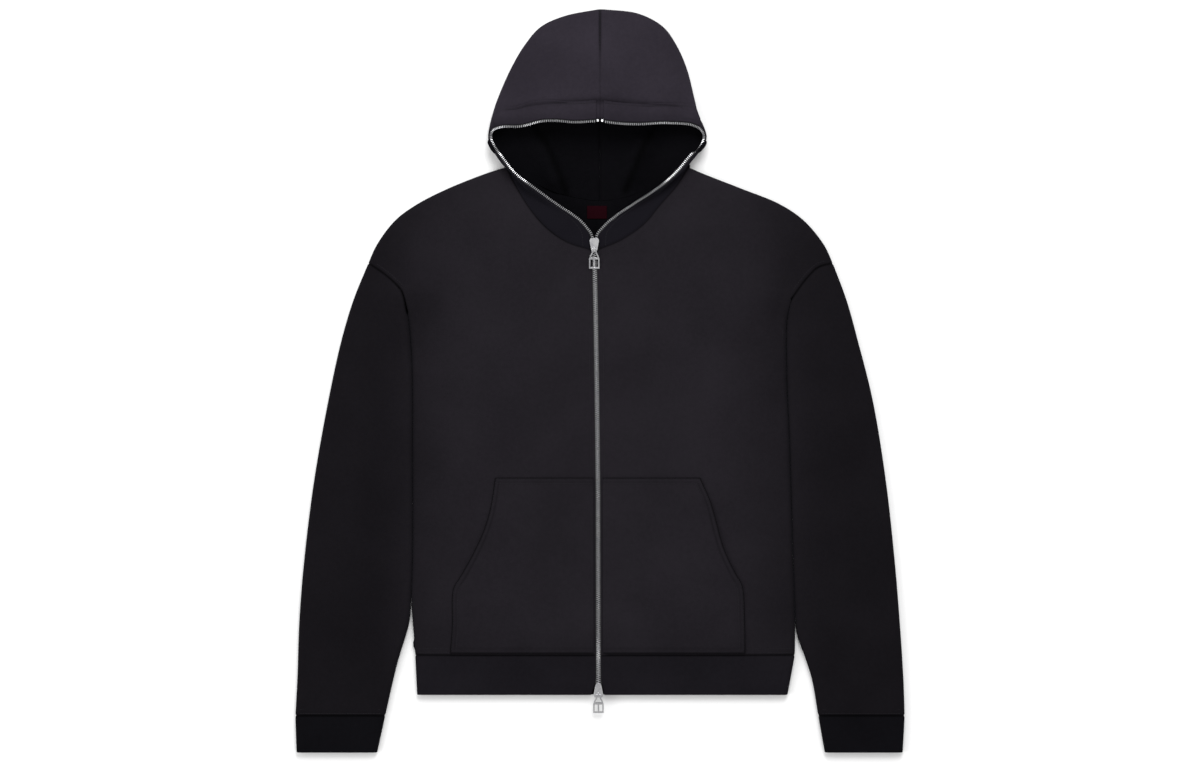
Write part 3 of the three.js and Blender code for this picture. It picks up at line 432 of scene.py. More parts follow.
def piece(name, shape, materials):
    """A smooth mesh object from points in millimetres, in the garment's place. The second
    material is for the inner face of its wall."""
    spots, faces, face_count, painted_shade = shape
    mesh = bpy.data.meshes.new(name + "_cloth")
    placed = (np.asarray(spots, float) - [0, MIDDLE_Y, 0]) * MM
    mesh.from_pydata(placed.tolist(), [], np.asarray(faces).tolist())
    mesh.polygons.foreach_set("use_smooth", np.ones(len(mesh.polygons), bool))
    for material in materials:
        mesh.materials.append(material)
    if len(materials) > 1:
        kinds = np.zeros(len(faces), np.int32)
        kinds[face_count:2 * face_count] = 1
        mesh.polygons.foreach_set("material_index", kinds)
    # Painted crease and seam shade, read by the fleece's colour.
    mesh.attributes.new("crease", "FLOAT", "POINT").data.foreach_set("value", painted_shade.ravel())
    mesh.update()
    made = bpy.data.objects.new(mesh.name, mesh)
    bpy.context.scene.collection.objects.link(made)
    return made


def net(start, end, bottom, top):
    """A net of points in plan from the points of its four edges."""
    def shares(spots):
        gone = np.concatenate([[0], np.cumsum(np.linalg.norm(np.diff(spots, axis=0), axis=1))])
        return gone / gone[-1]

    u = shares(bottom)[None, :, None]
    v = shares(start)[:, None, None]
    across = mix(start[:, None], end[:, None], u)
    along = mix(bottom[None], top[None], v)
    low = mix(bottom[0], bottom[-1], u)
    high = mix(top[0], top[-1], u)
    return across + along - mix(low, high, v)


# Materials


class Amount:
    """A number that a material's nodes work out, which takes part in sums."""

    def __init__(self, finish, socket):
        self.finish = finish
        self.socket = socket

    def _sum(self, operation, first, second=None):
        values = [v.socket if isinstance(v, Amount) else v for v in (first, second)]
        node = self.finish.add("ShaderNodeMath", {"operation": operation})
        for socket, value in zip(node.inputs, values):
            self.finish.feed(socket, value)
        return Amount(self.finish, node.outputs[0])

    def __add__(self, other):
        return self._sum("ADD", self, other)

    def __radd__(self, other):
        return self._sum("ADD", other, self)

    def __sub__(self, other):
        return self._sum("SUBTRACT", self, other)

    def __rsub__(self, other):
        return self._sum("SUBTRACT", other, self)

    def __mul__(self, other):
        return self._sum("MULTIPLY", self, other)

    def __rmul__(self, other):
        return self._sum("MULTIPLY", other, self)

    def wave(self):
        return self._sum("SINE", self)

    def steps(self, low, high):
        """0 below `low`, 1 above `high`, and a soft rise between them."""
        settings = {"interpolation_type": "SMOOTHSTEP"}
        node = self.finish.add("ShaderNodeMapRange", settings, Value=self.socket)
        node.inputs["From Min"].default_value = low
        node.inputs["From Max"].default_value = high
        return Amount(self.finish, node.outputs["Result"])


class Finish:
    """A procedural material."""

    def __init__(self, name, color):
        self.material = bpy.data.materials.new(name)
        self.material.use_nodes = True
        self.material.diffuse_color = (*color, 1)
        self.tree = self.material.node_tree
        self.shader = self.tree.nodes["Principled BSDF"]
        place = self.add("ShaderNodeTexCoord").outputs["Object"]
        parts = self.add("ShaderNodeSeparateXYZ", Vector=place)
        self.place = place
        self.x, self.y = (Amount(self, parts.outputs[k]) for k in range(2))

    def feed(self, socket, value):
        if isinstance(value, Amount):
            value = value.socket
        if isinstance(value, bpy.types.NodeSocket):
            self.tree.links.new(value, socket)
        elif value is not None:
            socket.default_value = value

    def add(self, kind, settings=None, **inputs):
        node = self.tree.nodes.new(kind)
        for key, value in (settings or {}).items():
            setattr(node, key, value)
        for key, value in inputs.items():
            self.feed(node.inputs[key.replace("_", " ")], value)
        return node

    def noise(self, size, detail=2.0, roughness=0.5, stretch=None):
        """Soft noise with spots of the given size in millimetres, from 0 to 1."""
        place = self.place
        if stretch:
            place = self.add("ShaderNodeMapping", Vector=place, Scale=stretch).outputs[0]
        node = self.add("ShaderNodeTexNoise", Vector=place, Scale=1000 / size, Detail=detail,
                        Roughness=roughness)
        return Amount(self, node.outputs["Fac"])

    def blended(self, part, low, high):
        """A colour between two, by an amount from 0 to 1."""
        node = self.add("ShaderNodeMix", {"data_type": "RGBA"})
        self.feed(node.inputs["Factor"], part)
        for socket, value in ((node.inputs[6], low), (node.inputs[7], high)):
            self.feed(socket, (*value, 1) if isinstance(value, tuple) else value)
        return node.outputs[2]

    def bumped(self, height, distance, strength):
        node = self.add("ShaderNodeBump", Height=height, Strength=strength, Distance=distance)
        return node.outputs[0]

    def shade(self, **inputs):
        for key, value in inputs.items():
            self.feed(self.shader.inputs[key.replace("_", " ")], value)
        return self.material


SIDE_SHADE_FROM, SIDE_SHADE_TO = 0.13, 0.3  # metres from the middle over which painted shade darkens the fleece
HOOD_SHADE_Y = (0.31, 0.35)  # heights in metres between which the hood goes from its painted shade to its painted lighter tone


def fleece(name, dark, light, nap=1.0, low=None, sides=1.0):
    """Brushed fleece: short felted fibres, a smooth face, and faint cloudy changes of tone. Painted
    shade darkens it in its creases and seams, multiplies it by `sides` far from the middle, and
    turns it to `low` below the opening."""
    made = Finish(name, light)
    cloud = made.noise(90, 3.0)
    fibre = made.noise(1.1, 4.0, 0.65)
    felt = made.noise(5.0, 3.0, 0.6)
    knit = made.noise(0.8, 1.0, 0.5, stretch=(1.0, 0.45, 1.0))
    tone = cloud * 0.45 + felt * 0.25 + fibre * 0.3
    color = made.blended(tone.steps(0.3, 0.7), dark, light)
    # Painted shade in creases and seams: the colour falls towards 8 per cent of the dark tone.
    crease = made.add("ShaderNodeAttribute", {"attribute_name": "crease"}).outputs["Fac"]
    color = made.blended(Amount(made, crease) * 0.8, color, tuple(0.08 * part for part in dark))
    # Painted shade: darker away from the middle, over the sides and sleeves.
    if sides < 1:
        side_shade = (made.x * made.x).steps(SIDE_SHADE_FROM ** 2, SIDE_SHADE_TO ** 2)
        shaded = made.add("ShaderNodeMix", {"data_type": "RGBA", "blend_type": "MULTIPLY"},
                          Factor=side_shade)
        made.feed(shaded.inputs[6], color)
        made.feed(shaded.inputs[7], (sides, sides, sides, 1))
        color = shaded.outputs[2]
    # Painted shade: the darker tone below the hood's opening.
    if low:
        color = made.blended(made.y.steps(*HOOD_SHADE_Y), low, color)
    height = fibre * 0.5 + felt * 0.35 + knit * 0.15
    normal = made.bumped(height, 0.0006 * nap, 0.55)
    return made.shade(Base_Color=color, Roughness=0.86 + fibre * 0.12, Normal=normal,
                      Specular_IOR_Level=0.03, Sheen_Weight=0.02, Sheen_Roughness=0.4,
                      Sheen_Tint=(0.82, 0.82, 1.0, 1))


def tape_cloth(name):
    """The zip's tape: a close herringbone weave."""
    made = Finish(name, (0.012, 0.012, 0.014))
    weave = ((made.x + made.y) * 5200).wave() * 0.5 + 0.5
    color = made.blended(weave, (0.008, 0.008, 0.009), (0.02, 0.02, 0.022))
    normal = made.bumped(weave, 0.0002, 0.6)
    return made.shade(Base_Color=color, Roughness=0.7, Normal=normal)


def label_cloth(name):
    """A plain woven label in dark red, its tone darkened further as painted shade."""
    made = Finish(name, (0.11, 0.007, 0.01))
    weft = (made.y * 9000).wave() * 0.5 + 0.5
    warp = (made.x * 7000).wave() * 0.5 + 0.5
    color = made.blended(weft * 0.6 + warp * 0.4, (0.0070, 0.0012, 0.0022), (0.016, 0.0026, 0.0046))
    normal = made.bumped(weft * 0.7 + warp * 0.3, 0.00015, 0.6)
    return made.shade(Base_Color=color, Roughness=0.9, Normal=normal, Specular_IOR_Level=0.0)


def thread(name, tone):
    made = Finish(name, tone)
    twist = ((made.x + made.y) * 16000).wave() * 0.5 + 0.5
    low = tuple(0.7 * part for part in tone)
    color = made.blended(twist, low, tone)
    return made.shade(Base_Color=color, Roughness=0.6, Normal=made.bumped(twist, 0.0001, 0.5),
                      Specular_IOR_Level=0.1)


def polished_metal(name):
    """Polished nickel with faint rubbed patches and fine scratches."""
    made = Finish(name, (0.66, 0.66, 0.67))
    rubbed = made.noise(6.0, 3.0, 0.6)
    scratch = made.noise(0.5, 2.0, 0.6, stretch=(1.0, 0.06, 1.0))
    color = made.blended(rubbed.steps(0.35, 0.75), (0.52, 0.52, 0.53), (0.34, 0.34, 0.36))
    rough = 0.2 + rubbed * 0.1 + scratch * 0.06
    normal = made.bumped(scratch, 0.00003, 0.4)
    return made.shade(Base_Color=color, Metallic=1.0, Roughness=rough, Normal=normal)


def floor_paper(name):
    made = Finish(name, (0.85, 0.85, 0.85))
    grain = made.noise(2.0, 2.0)
    color = made.blended(grain, (0.86, 0.86, 0.86), (0.9, 0.9, 0.9))
    return made.shade(Base_Color=color, Roughness=0.9)


# Body and sleeves; painted shade halves their tone towards the sides.
FLEECE_BODY = fleece("fleece_body", (0.0094, 0.0082, 0.0104), (0.0136, 0.0119, 0.0150), sides=0.5)
# The hem in a darker tone of the same fleece, as painted shade.
FLEECE_HEM_SHADED = fleece("fleece_hem", (0.0060, 0.0053, 0.0070), (0.0090, 0.0080, 0.0104))
# The cuffs in a darker tone still of the same fleece, as painted shade.
FLEECE_BAND_SHADED = fleece("fleece_band", (0.0024, 0.0022, 0.0030), (0.0038, 0.0036, 0.0048), nap=0.8)
# The hood in a lighter tone of the same fleece, as painted light, with painted shade below its
# opening.
FLEECE_HOOD_LIT = fleece("fleece_hood", (0.0160, 0.0135, 0.0185), (0.0235, 0.0200, 0.0270),
                     low=(0.0060, 0.0055, 0.0078))
# The inner face of the cloth in a very dark tone, as painted shade inside the hood.
LINING_SHADED = fleece("lining", (0.0014, 0.0013, 0.0018), (0.0026, 0.0025, 0.0034), nap=1.6)
TAPE = tape_cloth("zip_tape")
# The label's red darkened as painted shade.
LABEL_SHADED = label_cloth("label_cloth")
THREAD = thread("thread", (0.012, 0.011, 0.014))
METAL = polished_metal("zip_metal")


# Body, sleeves and bands

UP = np.array([0.0, 0.0, 1.0])
PITCH = 3.2  # distance between points of the cloth
FOLD_FADE = 16.0  # distance from an edge over which folds fade
LEAST_FOLD = 0.35  # share of a fold that is left at the edge
OFF_CREASE = 200.0  # keeps the crease's fade away from the part above it
BACK_PITCH = 6.0  # distance between points of the back
FRONT_ACROSS = 235  # width of a front, for the spacing of its points


def flattened(normals, where, axis):
    """Normals turned square to an axis at the chosen rows or points."""
    turned = normals[where].copy()
    turned[..., axis] = 0
    normals[where] = turned / np.maximum(np.linalg.norm(turned, axis=-1, keepdims=True), 1e-9)


def rested(grid, normals):
    normals[grid[..., 2] < RESTING] = -UP
    return normals


def in_space(plan_points, height):
    return np.concatenate([plan_points, height[..., None]], axis=-1)


def body_edge(side, far_down):
    """Points up the side of the body and the armhole, at distances from the hem's seam."""
    gap = -SIGN[side] * SEAM / 2
    seam, hole = side_seam[side], armhole[side]
    low = seam.beside(1 - far_down / seam.length, gap)
    high = hole.beside(1 - (far_down - seam.length) / hole.length, gap)
    return np.where((far_down <= seam.length)[:, None], low, high)


def edge_height(x, y, near, outer_far):
    fold_share = 1 - turn(np.minimum(outer_far, near))
    return upper_z(x, y, near, outer_far) + SEAM / 2 * fold_share, fold_share


def make_front(side):
    lean = SIGN[side]
    zip_length = NECK_FRONT - HEM_SEAM - SEAM / 2
    neck = neck_seam[side]
    whole = zip_length + neck.length
    far_up = spread(whole, PITCH, fold=(False, True)) * whole
    zip_y = HEM_SEAM + SEAM / 2 + np.minimum(far_up, zip_length)
    zip_edge = np.stack([zip_x(zip_y) + lean * ZIP_EDGE, zip_y], axis=-1)
    neck_edge = neck.beside(1 - (far_up - zip_length) / neck.length, lean * SEAM / 2)
    inner = np.where((far_up <= zip_length)[:, None], zip_edge, neck_edge)
    body_long = side_seam[side].length + armhole[side].length
    level = 90 - HEM_SEAM  # rows are level up to here
    outer = body_edge(side, np.interp(far_up, [0, level, whole], [0, level, body_long]))
    across = spread(FRONT_ACROSS, PITCH, fold=(False, True))
    hem = mix(inner[0], outer[0], across[:, None])
    top = shoulder[side].at(across)
    top[0], top[-1] = inner[-1], outer[-1]
    spots = net(inner, outer, hem, top)
    x, y = plan(spots)
    near, outer_far = edges_far(body_rule, side, x, y)
    outer_far[-1] = 0
    height, fold_share = edge_height(x, y, near, outer_far)
    inside = smooth(0, FOLD_FADE, np.minimum(near + OFF_CREASE * (y > CREASE_TOP), outer_far))
    height += folds_at(x, y, strokes_of((side, f"front_{side}"))) * np.maximum(inside, LEAST_FOLD)
    grid = in_space(spots, height)
    normals = normals_of(grid, False, lean)
    flattened(normals, 0, 1)
    upright = fold_share > 0.9
    upright[:-1, :-1] = False
    flattened(normals, upright, 2)
    hem_line = Line([(lean * 8, HEM_SEAM), HEM_LINE[side]])
    sunk = sunk_at(grid, [hem_line, armhole_top[side], neck], *SEAM_DRAWN)
    shape = wall(grid, CLOTH, outward=lean, normals=rested(grid, normals), sunk=sunk)
    return piece(f"front_{side}", shape, [FLEECE_BODY, LINING_SHADED])


HEM_LINE = {s: SIDE[s][-1] for s in SIDES}
armhole_top = {s: Line(ARMHOLE[s][:5]) for s in SIDES}


def make_back(nape_spots):
    body_long = side_seam["left"].length + armhole["left"].length
    up = spread(body_long, BACK_PITCH, fold=(False, True))
    edges = {}
    for side in SIDES:
        whole = side_seam[side].length + armhole[side].length
        edges[side] = body_edge(side, up * whole)
    part = spread(shoulder["left"].length, BACK_PITCH, fold=(False, True))
    left_top = shoulder["left"].at(part[::-1])[:-1]
    right_top = shoulder["right"].at(part)[1:]
    top = np.vstack([left_top, nape_spots - [0, SEAM], right_top])
    top[0], top[-1] = edges["left"][-1], edges["right"][-1]
    across = np.concatenate([[0], np.cumsum(np.linalg.norm(np.diff(top, axis=0), axis=1))])
    across /= across[-1]
    hem = mix(edges["left"][0], edges["right"][0], across[:, None])
    spots = net(edges["left"], edges["right"], hem, top)
    x, y = plan(spots)
    near, outer_far = by_side(body_rule, x, y), by_side(outline_rule, x, y)
    over_shoulder = np.abs(x[-1]) > 125
    outer_far[-1] = np.where(over_shoulder, 0, outer_far[-1])
    fold_share = 1 - turn(np.minimum(outer_far, near))
    height = np.maximum(0, lower_z(y, near, outer_far) - SEAM / 2 * fold_share)
    grid = in_space(spots, height)
    normals = normals_of(grid, False, -1)
    flattened(normals, 0, 1)
    upright = height > FOLD_Z - 0.7
    upright[:-1, 1:-1] = False
    flattened(normals, upright, 2)
    return piece("back", wall(grid, CLOTH, outward=-1, normals=rested(grid, normals)),
                 [FLEECE_BODY, LINING_SHADED])


def folded_parts(lengths, count):
    """Shares across a folded tube for each row, close together at both folds."""
    steps = np.array(FOLD_STEPS)
    first = steps[None] / lengths[:, None]
    between = np.linspace(0, 1, count + 1)[None, 1:-1]
    middle = mix(first[:, -1:], 1 - first[:, -1:], between)
    return np.concatenate([first, middle, 1 - first[:, ::-1]], axis=1)


def flat_tube(upper, lower):
    """A tube that lies flat: the upper row of points across it, and the lower row back."""
    return np.concatenate([upper, lower[:, -2:0:-1]], axis=1)


BLOUSE = 1.6  # how far a sleeve swells over the seam of its cuff


def make_sleeve(side):
    lean = SIGN[side]
    gap = lean * SEAM / 2
    down = spread(outline[side].length, PITCH)
    outer, inner = outline[side].at(down), inseam[side].beside(down, gap)
    wide = np.linalg.norm(outer - inner, axis=1)
    across = folded_parts(wide, 40)
    hole = armhole[side].beside(across, gap)
    cuff_row = mix(outline[side].at(1.0), inseam[side].beside(1.0, gap), across[..., None])
    cuff_row[..., 1] = CUFF_SEAM + SEAM / 2
    u, v = across[..., None], down[:, None, None]
    ends = [armhole[side].beside(s, gap) for s in (0.0, 1.0)]
    low_ends = [cuff_row[0, 0], cuff_row[0, -1]]
    corners = mix(mix(ends[0], ends[1], u), mix(low_ends[0], low_ends[1], u), v)
    spots = mix(outer[:, None], inner[:, None], u) + mix(hole, cuff_row, v) - corners
    x, y = plan(spots)
    near, outer_far = edges_far(sleeve_rule, side, x, y)
    outer_far[:, 0] = 0
    inside = smooth(0, FOLD_FADE, np.minimum(near + OFF_CREASE * (y > CREASE_TOP), outer_far))
    top = upper_z(x, y, near, outer_far)
    top += folds_at(x, y, strokes_of((side, f"sleeve_{side}"))) * np.maximum(inside, LEAST_FOLD)
    over_cuff = (y - CUFF_SEAM) / 9
    top += BLOUSE * inside * np.clip(over_cuff, 0, None) * np.exp(1 - np.clip(over_cuff, 0, None))
    grid = flat_tube(in_space(spots, top), in_space(spots, lower_z(y, near, outer_far)))
    normals = normals_of(grid, True, lean)
    flattened(normals, -1, 1)
    crease_far = np.minimum(sleeve_rule[side].far(grid[..., 0], grid[..., 1]), 9)
    in_crease = (grid[..., 1] < CREASE_TOP) & (crease_far < 1.5)
    in_crease[down > 0.014] = False
    normals[in_crease, 0] = lean * np.minimum(-0.3, normals[in_crease, 0] * lean)
    normals /= np.linalg.norm(normals, axis=2, keepdims=True)
    cuff_line = Line([OUTER[side][-1], INSEAM[side][-1]])
    sunk = sunk_at(grid, [armhole_top[side], cuff_line], *SEAM_DRAWN)
    shape = wall(grid, CLOTH, ring=True, outward=lean, normals=rested(grid, normals), sunk=sunk)
    return piece(f"sleeve_{side}", shape, [FLEECE_BODY, LINING_SHADED])


def make_cuff(side):
    lean = SIGN[side]
    down = spread(CUFF_SEAM - CUFF_END, 2.4)
    outer_top = outline[side].at(1.0) - [0, SEAM / 2]
    inner_top = inseam[side].at(1.0) - [0, SEAM / 2]
    outer = mix(outer_top, np.array(CUFF_OUTER[side], float), down[:, None])
    inner = mix(inner_top, np.array(CUFF_INNER[side], float), down[:, None])
    across = folded_parts(np.linalg.norm(outer - inner, axis=1), 34)[..., None]
    spots = mix(outer[:, None], inner[:, None], across)
    x, y = plan(spots)
    near, outer_far = edges_far(sleeve_rule, side, x, y)
    grid = flat_tube(in_space(spots, upper_z(x, y, near, outer_far)),
                     in_space(spots, lower_z(y, near, outer_far)))
    normals = normals_of(grid, True, lean)
    flattened(normals, 0, 1)
    flattened(normals, -1, 1)
    cuff_line = Line([OUTER[side][-1], INSEAM[side][-1]])
    sunk = sunk_at(grid, [cuff_line], *SEAM_DRAWN)
    shape = wall(grid, BAND, ring=True, outward=lean, normals=rested(grid, normals), sunk=sunk)
    return piece(f"cuff_{side}", shape, [FLEECE_BAND_SHADED, LINING_SHADED])


HEM_PART = {"left": 6.0, "right": 4.4}  # how far the hem swings out from the zip's end
HEM_PART_LONG = 22.0  # length of hem over which it does


def make_hem():
    up = spread(HEM_SEAM - SEAM / 2 - HEM_END, 2.4)
    y_up = mix(HEM_END, HEM_SEAM - SEAM / 2, up)
    edge = {s: np.stack([np.interp(y_up, [HEM_END, HEM_SEAM], [HEM_CORNER[s][0], SIDE[s][-1][0]]),
                         y_up], axis=-1) for s in SIDES}
    rows = {}
    for side in SIDES:
        swung = np.clip((HEM_END + HEM_PART_LONG - y_up) / HEM_PART_LONG, 0, 1) ** 1.4
        start = ZIP_EDGE + HEM_PART[side] * swung
        zip_edge = np.stack([zip_x(y_up) + SIGN[side] * start, y_up], axis=-1)
        across = spread(FRONT_ACROSS, PITCH, fold=(False, True))[None, :, None]
        spots = mix(zip_edge[:, None], edge[side][:, None], across)
        x, y = plan(spots)
        near, outer_far = edges_far(body_rule, side, x, y)
        rows[side] = in_space(spots, upper_z(x, y, near, outer_far))
    wide = spread(485, BACK_PITCH, fold=(True, True))[None, 1:-1, None]
    spots = mix(edge["left"][:, None], edge["right"][:, None], wide)
    x, y = plan(spots)
    near, outer_far = by_side(body_rule, x, y), by_side(outline_rule, x, y)
    under = in_space(spots, lower_z(y, near, outer_far))
    grid = np.concatenate([rows["left"], under, rows["right"][:, ::-1]], axis=1)
    normals = normals_of(grid, False, -1)
    flattened(normals, 0, 1)
    flattened(normals, -1, 1)
    sunk = sunk_at(grid, [Line([SIDE["left"][-1], SIDE["right"][-1]])], *SEAM_DRAWN)
    shape = wall(grid, BAND, outward=-1, normals=rested(grid, normals), sunk=sunk)
    return piece("hem_band", shape, [FLEECE_HEM_SHADED, LINING_SHADED])


# Hood


RIB_OVER = 40  # points of a rib in the upper layer
RIB_FLAT = 30  # and in the lower one


class HoodForm:
    """One half of the hood: ribs from the opening's edge over the upper layer, round the outline
    and along the surface to the seam down the back of the head. t runs from the neck's seam to
    the seam over the crown, and s along a rib."""

    def __init__(self, side):
        self.side = side
        self.lean = SIGN[side]
        neck_spot = (zip_x(NECK_FRONT) + self.lean * ZIP_EDGE, NECK_FRONT + SEAM / 2)
        self.face_line = Line([neck_spot, *FACE[side]])
        self.rim_line = Line(HOOD_SIDE[side])
        self.face_corner = self.face_line.share_near(FACE_CORNER[side])
        self.rim_corner = self.rim_line.share_near(FACE_CORNER[side])

    def bent(self, line, corner, t):
        low = mix(0, corner, t / CORNER)
        high = mix(corner, 1, (t - CORNER) / (1 - CORNER))
        return line.at(np.where(t < CORNER, low, high))

    def face(self, t):
        return self.bent(self.face_line, self.face_corner, t)

    def rim(self, t):
        return self.bent(self.rim_line, self.rim_corner, t)

    def behind(self, t):
        y = mix(NAPE, CROWN - 12, t ** 0.8)
        return np.stack([np.full(np.shape(t), self.lean * SEAM / 2), y], axis=-1)

    def nape(self, part):
        end = self.rim(np.array(0.0))
        y = NAPE + SEAM / 2 + (end[1] - NAPE) * np.abs(1 - part) ** 1.8
        return np.stack([mix(end[0], self.lean * SEAM / 2, part), y], axis=-1)

    def face_height(self, t):
        k = np.clip(np.searchsorted(FACE_T, t - 1e-9), 1, len(FACE_T) - 1)
        low, high = np.array(FACE_T)[k - 1], np.array(FACE_T)[k]
        part = np.clip((t - low) / (high - low), 0, 1)
        part = part * part * (3 - 2 * part)
        return mix(np.array(FACE_Z)[k - 1], np.array(FACE_Z)[k], part)

    def ribs(self, t):
        """Places along each rib, close together at its fold."""
        long = np.maximum(1, np.linalg.norm(self.face(t) - self.rim(t), axis=-1))
        steps = np.array(FOLD_STEPS) / FOLD_R
        turns = 1 - steps[None, ::-1] * (np.minimum(FOLD_R, 0.6 * long) / long)[:, None]
        over = np.linspace(0, 1, RIB_OVER, endpoint=False)[None] * turns[:, :1]
        back_long = np.linalg.norm(self.rim(t) - self.behind(t), axis=-1)
        rounds = steps[None, 1:] * (np.minimum(FOLD_R, 0.6 * back_long) / back_long)[:, None]
        flat = mix(rounds[:, -1:], 1, np.linspace(0, 1, RIB_FLAT + 1)[None, 1:])
        upper = np.concatenate([over, turns], axis=1) * HOOD_TURN
        return np.concatenate([upper, mix(HOOD_TURN, 1, np.concatenate([rounds, flat], 1))], 1)

    def upper(self, t, s):
        part = s / HOOD_TURN
        start, over = self.face(t), self.rim(t)
        neck_share = ((1 - t) ** 4)[..., None]
        spot = mix(start, over, part[..., None])
        at_neck = neck_seam[self.side].beside(1 - part, -self.lean * SEAM / 2)
        zero = np.array(0.0)
        spot += (at_neck - mix(self.face(zero), self.rim(zero), part[..., None])) * neck_share
        long = np.linalg.norm(start - over, axis=-1)
        inside = long * (1 - part)
        rise = self.face_height(t) - FOLD_Z
        quick = mix(rise, EDGE_Z - FOLD_Z, smooth(4, 60, long))
        wave = np.sin(math.pi / 2 * np.clip(inside / (long + 0.01), 0, 1))
        own = FOLD_Z + quick * turn(inside, np.minimum(FOLD_R, long + 0.01)) + (rise - quick) * wave
        x, y = spot[..., 0], spot[..., 1]
        body = upper_z(x, y, np.full(x.shape, np.inf), outline_rule[self.side].far(x, y))
        return in_space(spot, mix(body, own, smooth(0, 0.16, t)))

    def lower(self, t, s):
        part = (s - HOOD_TURN) / (1 - HOOD_TURN)
        over = self.rim(t)
        neck_share = ((1 - t) ** 4)[..., None]
        spot = mix(over, self.behind(t), part[..., None])
        zero = np.array(0.0)
        straight = mix(self.rim(zero), self.behind(zero), part[..., None])
        spot += (self.nape(part) - straight) * neck_share
        far = np.linalg.norm(spot - over, axis=-1)
        return in_space(spot, FOLD_Z * (1 - turn(far)))

    def points(self, t, s):
        t, s = np.broadcast_arrays(t, s)
        return np.where((s <= HOOD_TURN)[..., None], self.upper(t, np.minimum(s, HOOD_TURN)),
                        self.lower(t, np.maximum(s, HOOD_TURN)))


hood_form = {s: HoodForm(s) for s in SIDES}
HOOD_ROWS = np.concatenate([spread(400, 3.4, close=(True, False))[:-1] * 0.47,
                            np.linspace(0.47, 0.53, 13)[:-1],
                            0.53 + spread(300, 3.4, close=(False, True)) * 0.47])


# Lines of painted shade: under the seam of the hood's band, and along the folds inside the hood.
BAND_SHADE_LINE = [(-141, 343.5), (-116, 352.3), (-77, 357.8), (-6, 362), (62, 357.8), (103, 355),
             (131, 339)]
LINING_SHADE_LINES = [[(-88, 337), (-68, 305), (-54, 272), (-44, 246)],
                [(74, 337), (56, 305), (44, 276), (33, 249)]]


def make_hood(side):
    form, lean = hood_form[side], SIGN[side]
    grid = form.points(HOOD_ROWS[:, None], form.ribs(HOOD_ROWS))
    upper = form.ribs(HOOD_ROWS) <= HOOD_TURN
    x, y = plan(grid)
    inside = smooth(0, 22, form.rim_line.far(x, y))
    on_top = folds_at(x, y, strokes_of(("hood", f"hood_{side}"))) * inside
    within = folds_at(x, y, strokes_of(("lining",))) * inside
    grid[..., 2] += np.where(upper, on_top, np.maximum(0, within))
    normals = normals_of(grid, False, lean)
    flattened(normals, -1, 0)
    seam_shown = smooth(395, 455, y) * 0.9 + 0.1
    sunk = sunk_at(grid, [neck_seam[side]], *SEAM_DRAWN)
    sunk += sunk_at(grid, [Line([(0, 340), (0, CROWN)])], 0.75, 1.7) * seam_shown
    # Painted shade, in the colour only: under the seam of the hood's band, and along the folds
    # inside the hood.
    band = sunk_at(grid, [Line(BAND_SHADE_LINE)], 0.85, 2.0)
    lining_fold_shade = sunk_at(grid, [Line(spots) for spots in LINING_SHADE_LINES], 0.9, 4.5)
    crease = np.where(upper, band, lining_fold_shade)
    sunk = np.where(upper, sunk, 0)
    shape = wall(grid, CLOTH, outward=lean, normals=rested(grid, normals), sunk=sunk,
                 crease=crease)
    return piece(f"hood_{side}", shape, [FLEECE_HOOD_LIT, LINING_SHADED]), grid, normals


def make_hood_hem(side):
    form, lean = hood_form[side], SIGN[side]
    t = 0.56 + spread(150, 2.4, close=(True, True)) * (0.985 - 0.56)
    long = np.linalg.norm(form.face(t) - form.rim(t), axis=-1)
    share = np.minimum(0.8, HOOD_HEM / long) * HOOD_TURN
    across = 0.02 + spread(HOOD_HEM, 1.6) * 0.98
    grid = form.points(t[:, None], across[None] * share[:, None])
    grid[..., 2] += folds_at(grid[..., 0], grid[..., 1], strokes_of(("hood", f"hood_{side}")))
    lift = 2 * SEAM + HOOD_HEM_T
    return piece(f"hood_hem_{side}", wall(grid, HOOD_HEM_T, outward=lean, lift=lift),
                 [FLEECE_HOOD_LIT, LINING_SHADED])


# Pockets, label and zip

POCKET_STITCH = 6.0  # from a pocket's edge to its line of stitches


def make_pocket(side):
    lean = SIGN[side]
    edge = Line(POCKET[side])
    order = np.argsort(edge.spots[:, 1])
    long = POCKET_TOP - POCKET_LOW
    y = POCKET_LOW + spread(long, 2.6) * (long - 0.1)
    start = zip_x(y) + lean * POCKET_INNER
    end = np.interp(y, edge.spots[order, 1], edge.spots[order, 0])
    across = spread(170, 2.6)
    x = mix(start[:, None], end[:, None], across[None])
    y = np.broadcast_to(y[:, None], x.shape)
    near, outer_far = edges_far(body_rule, side, x, y)
    height = upper_z(x, y, near, outer_far) + folds_at(x, y, strokes_of((f"front_{side}",)))
    mouth = edge.near(x, y)
    opening = (mouth[1] > 0.3) & (mouth[1] < 0.97)
    lifted = 1.3 * np.exp(-((mouth[0] / 14) ** 2)) * np.sin(np.pi * (mouth[1] - 0.3) / 0.67) ** 2
    height = height + np.where(opening, lifted, 0)
    grid = in_space(np.stack([x, y], axis=-1), height)
    border = np.minimum(edge.far(x, y), np.minimum(POCKET_TOP - y, y - POCKET_LOW))
    sunk = 1.0 * np.exp(-((border / 1.6) ** 2))
    sunk += 0.4 * np.exp(-(((border - POCKET_STITCH) / 1.3) ** 2))
    shape = wall(grid, POCKET_T, outward=lean, lift=POCKET_GAP + POCKET_T,
                 sunk=np.minimum(sunk, 1.2))
    return piece(f"pocket_{side}", shape, [FLEECE_BODY, LINING_SHADED])


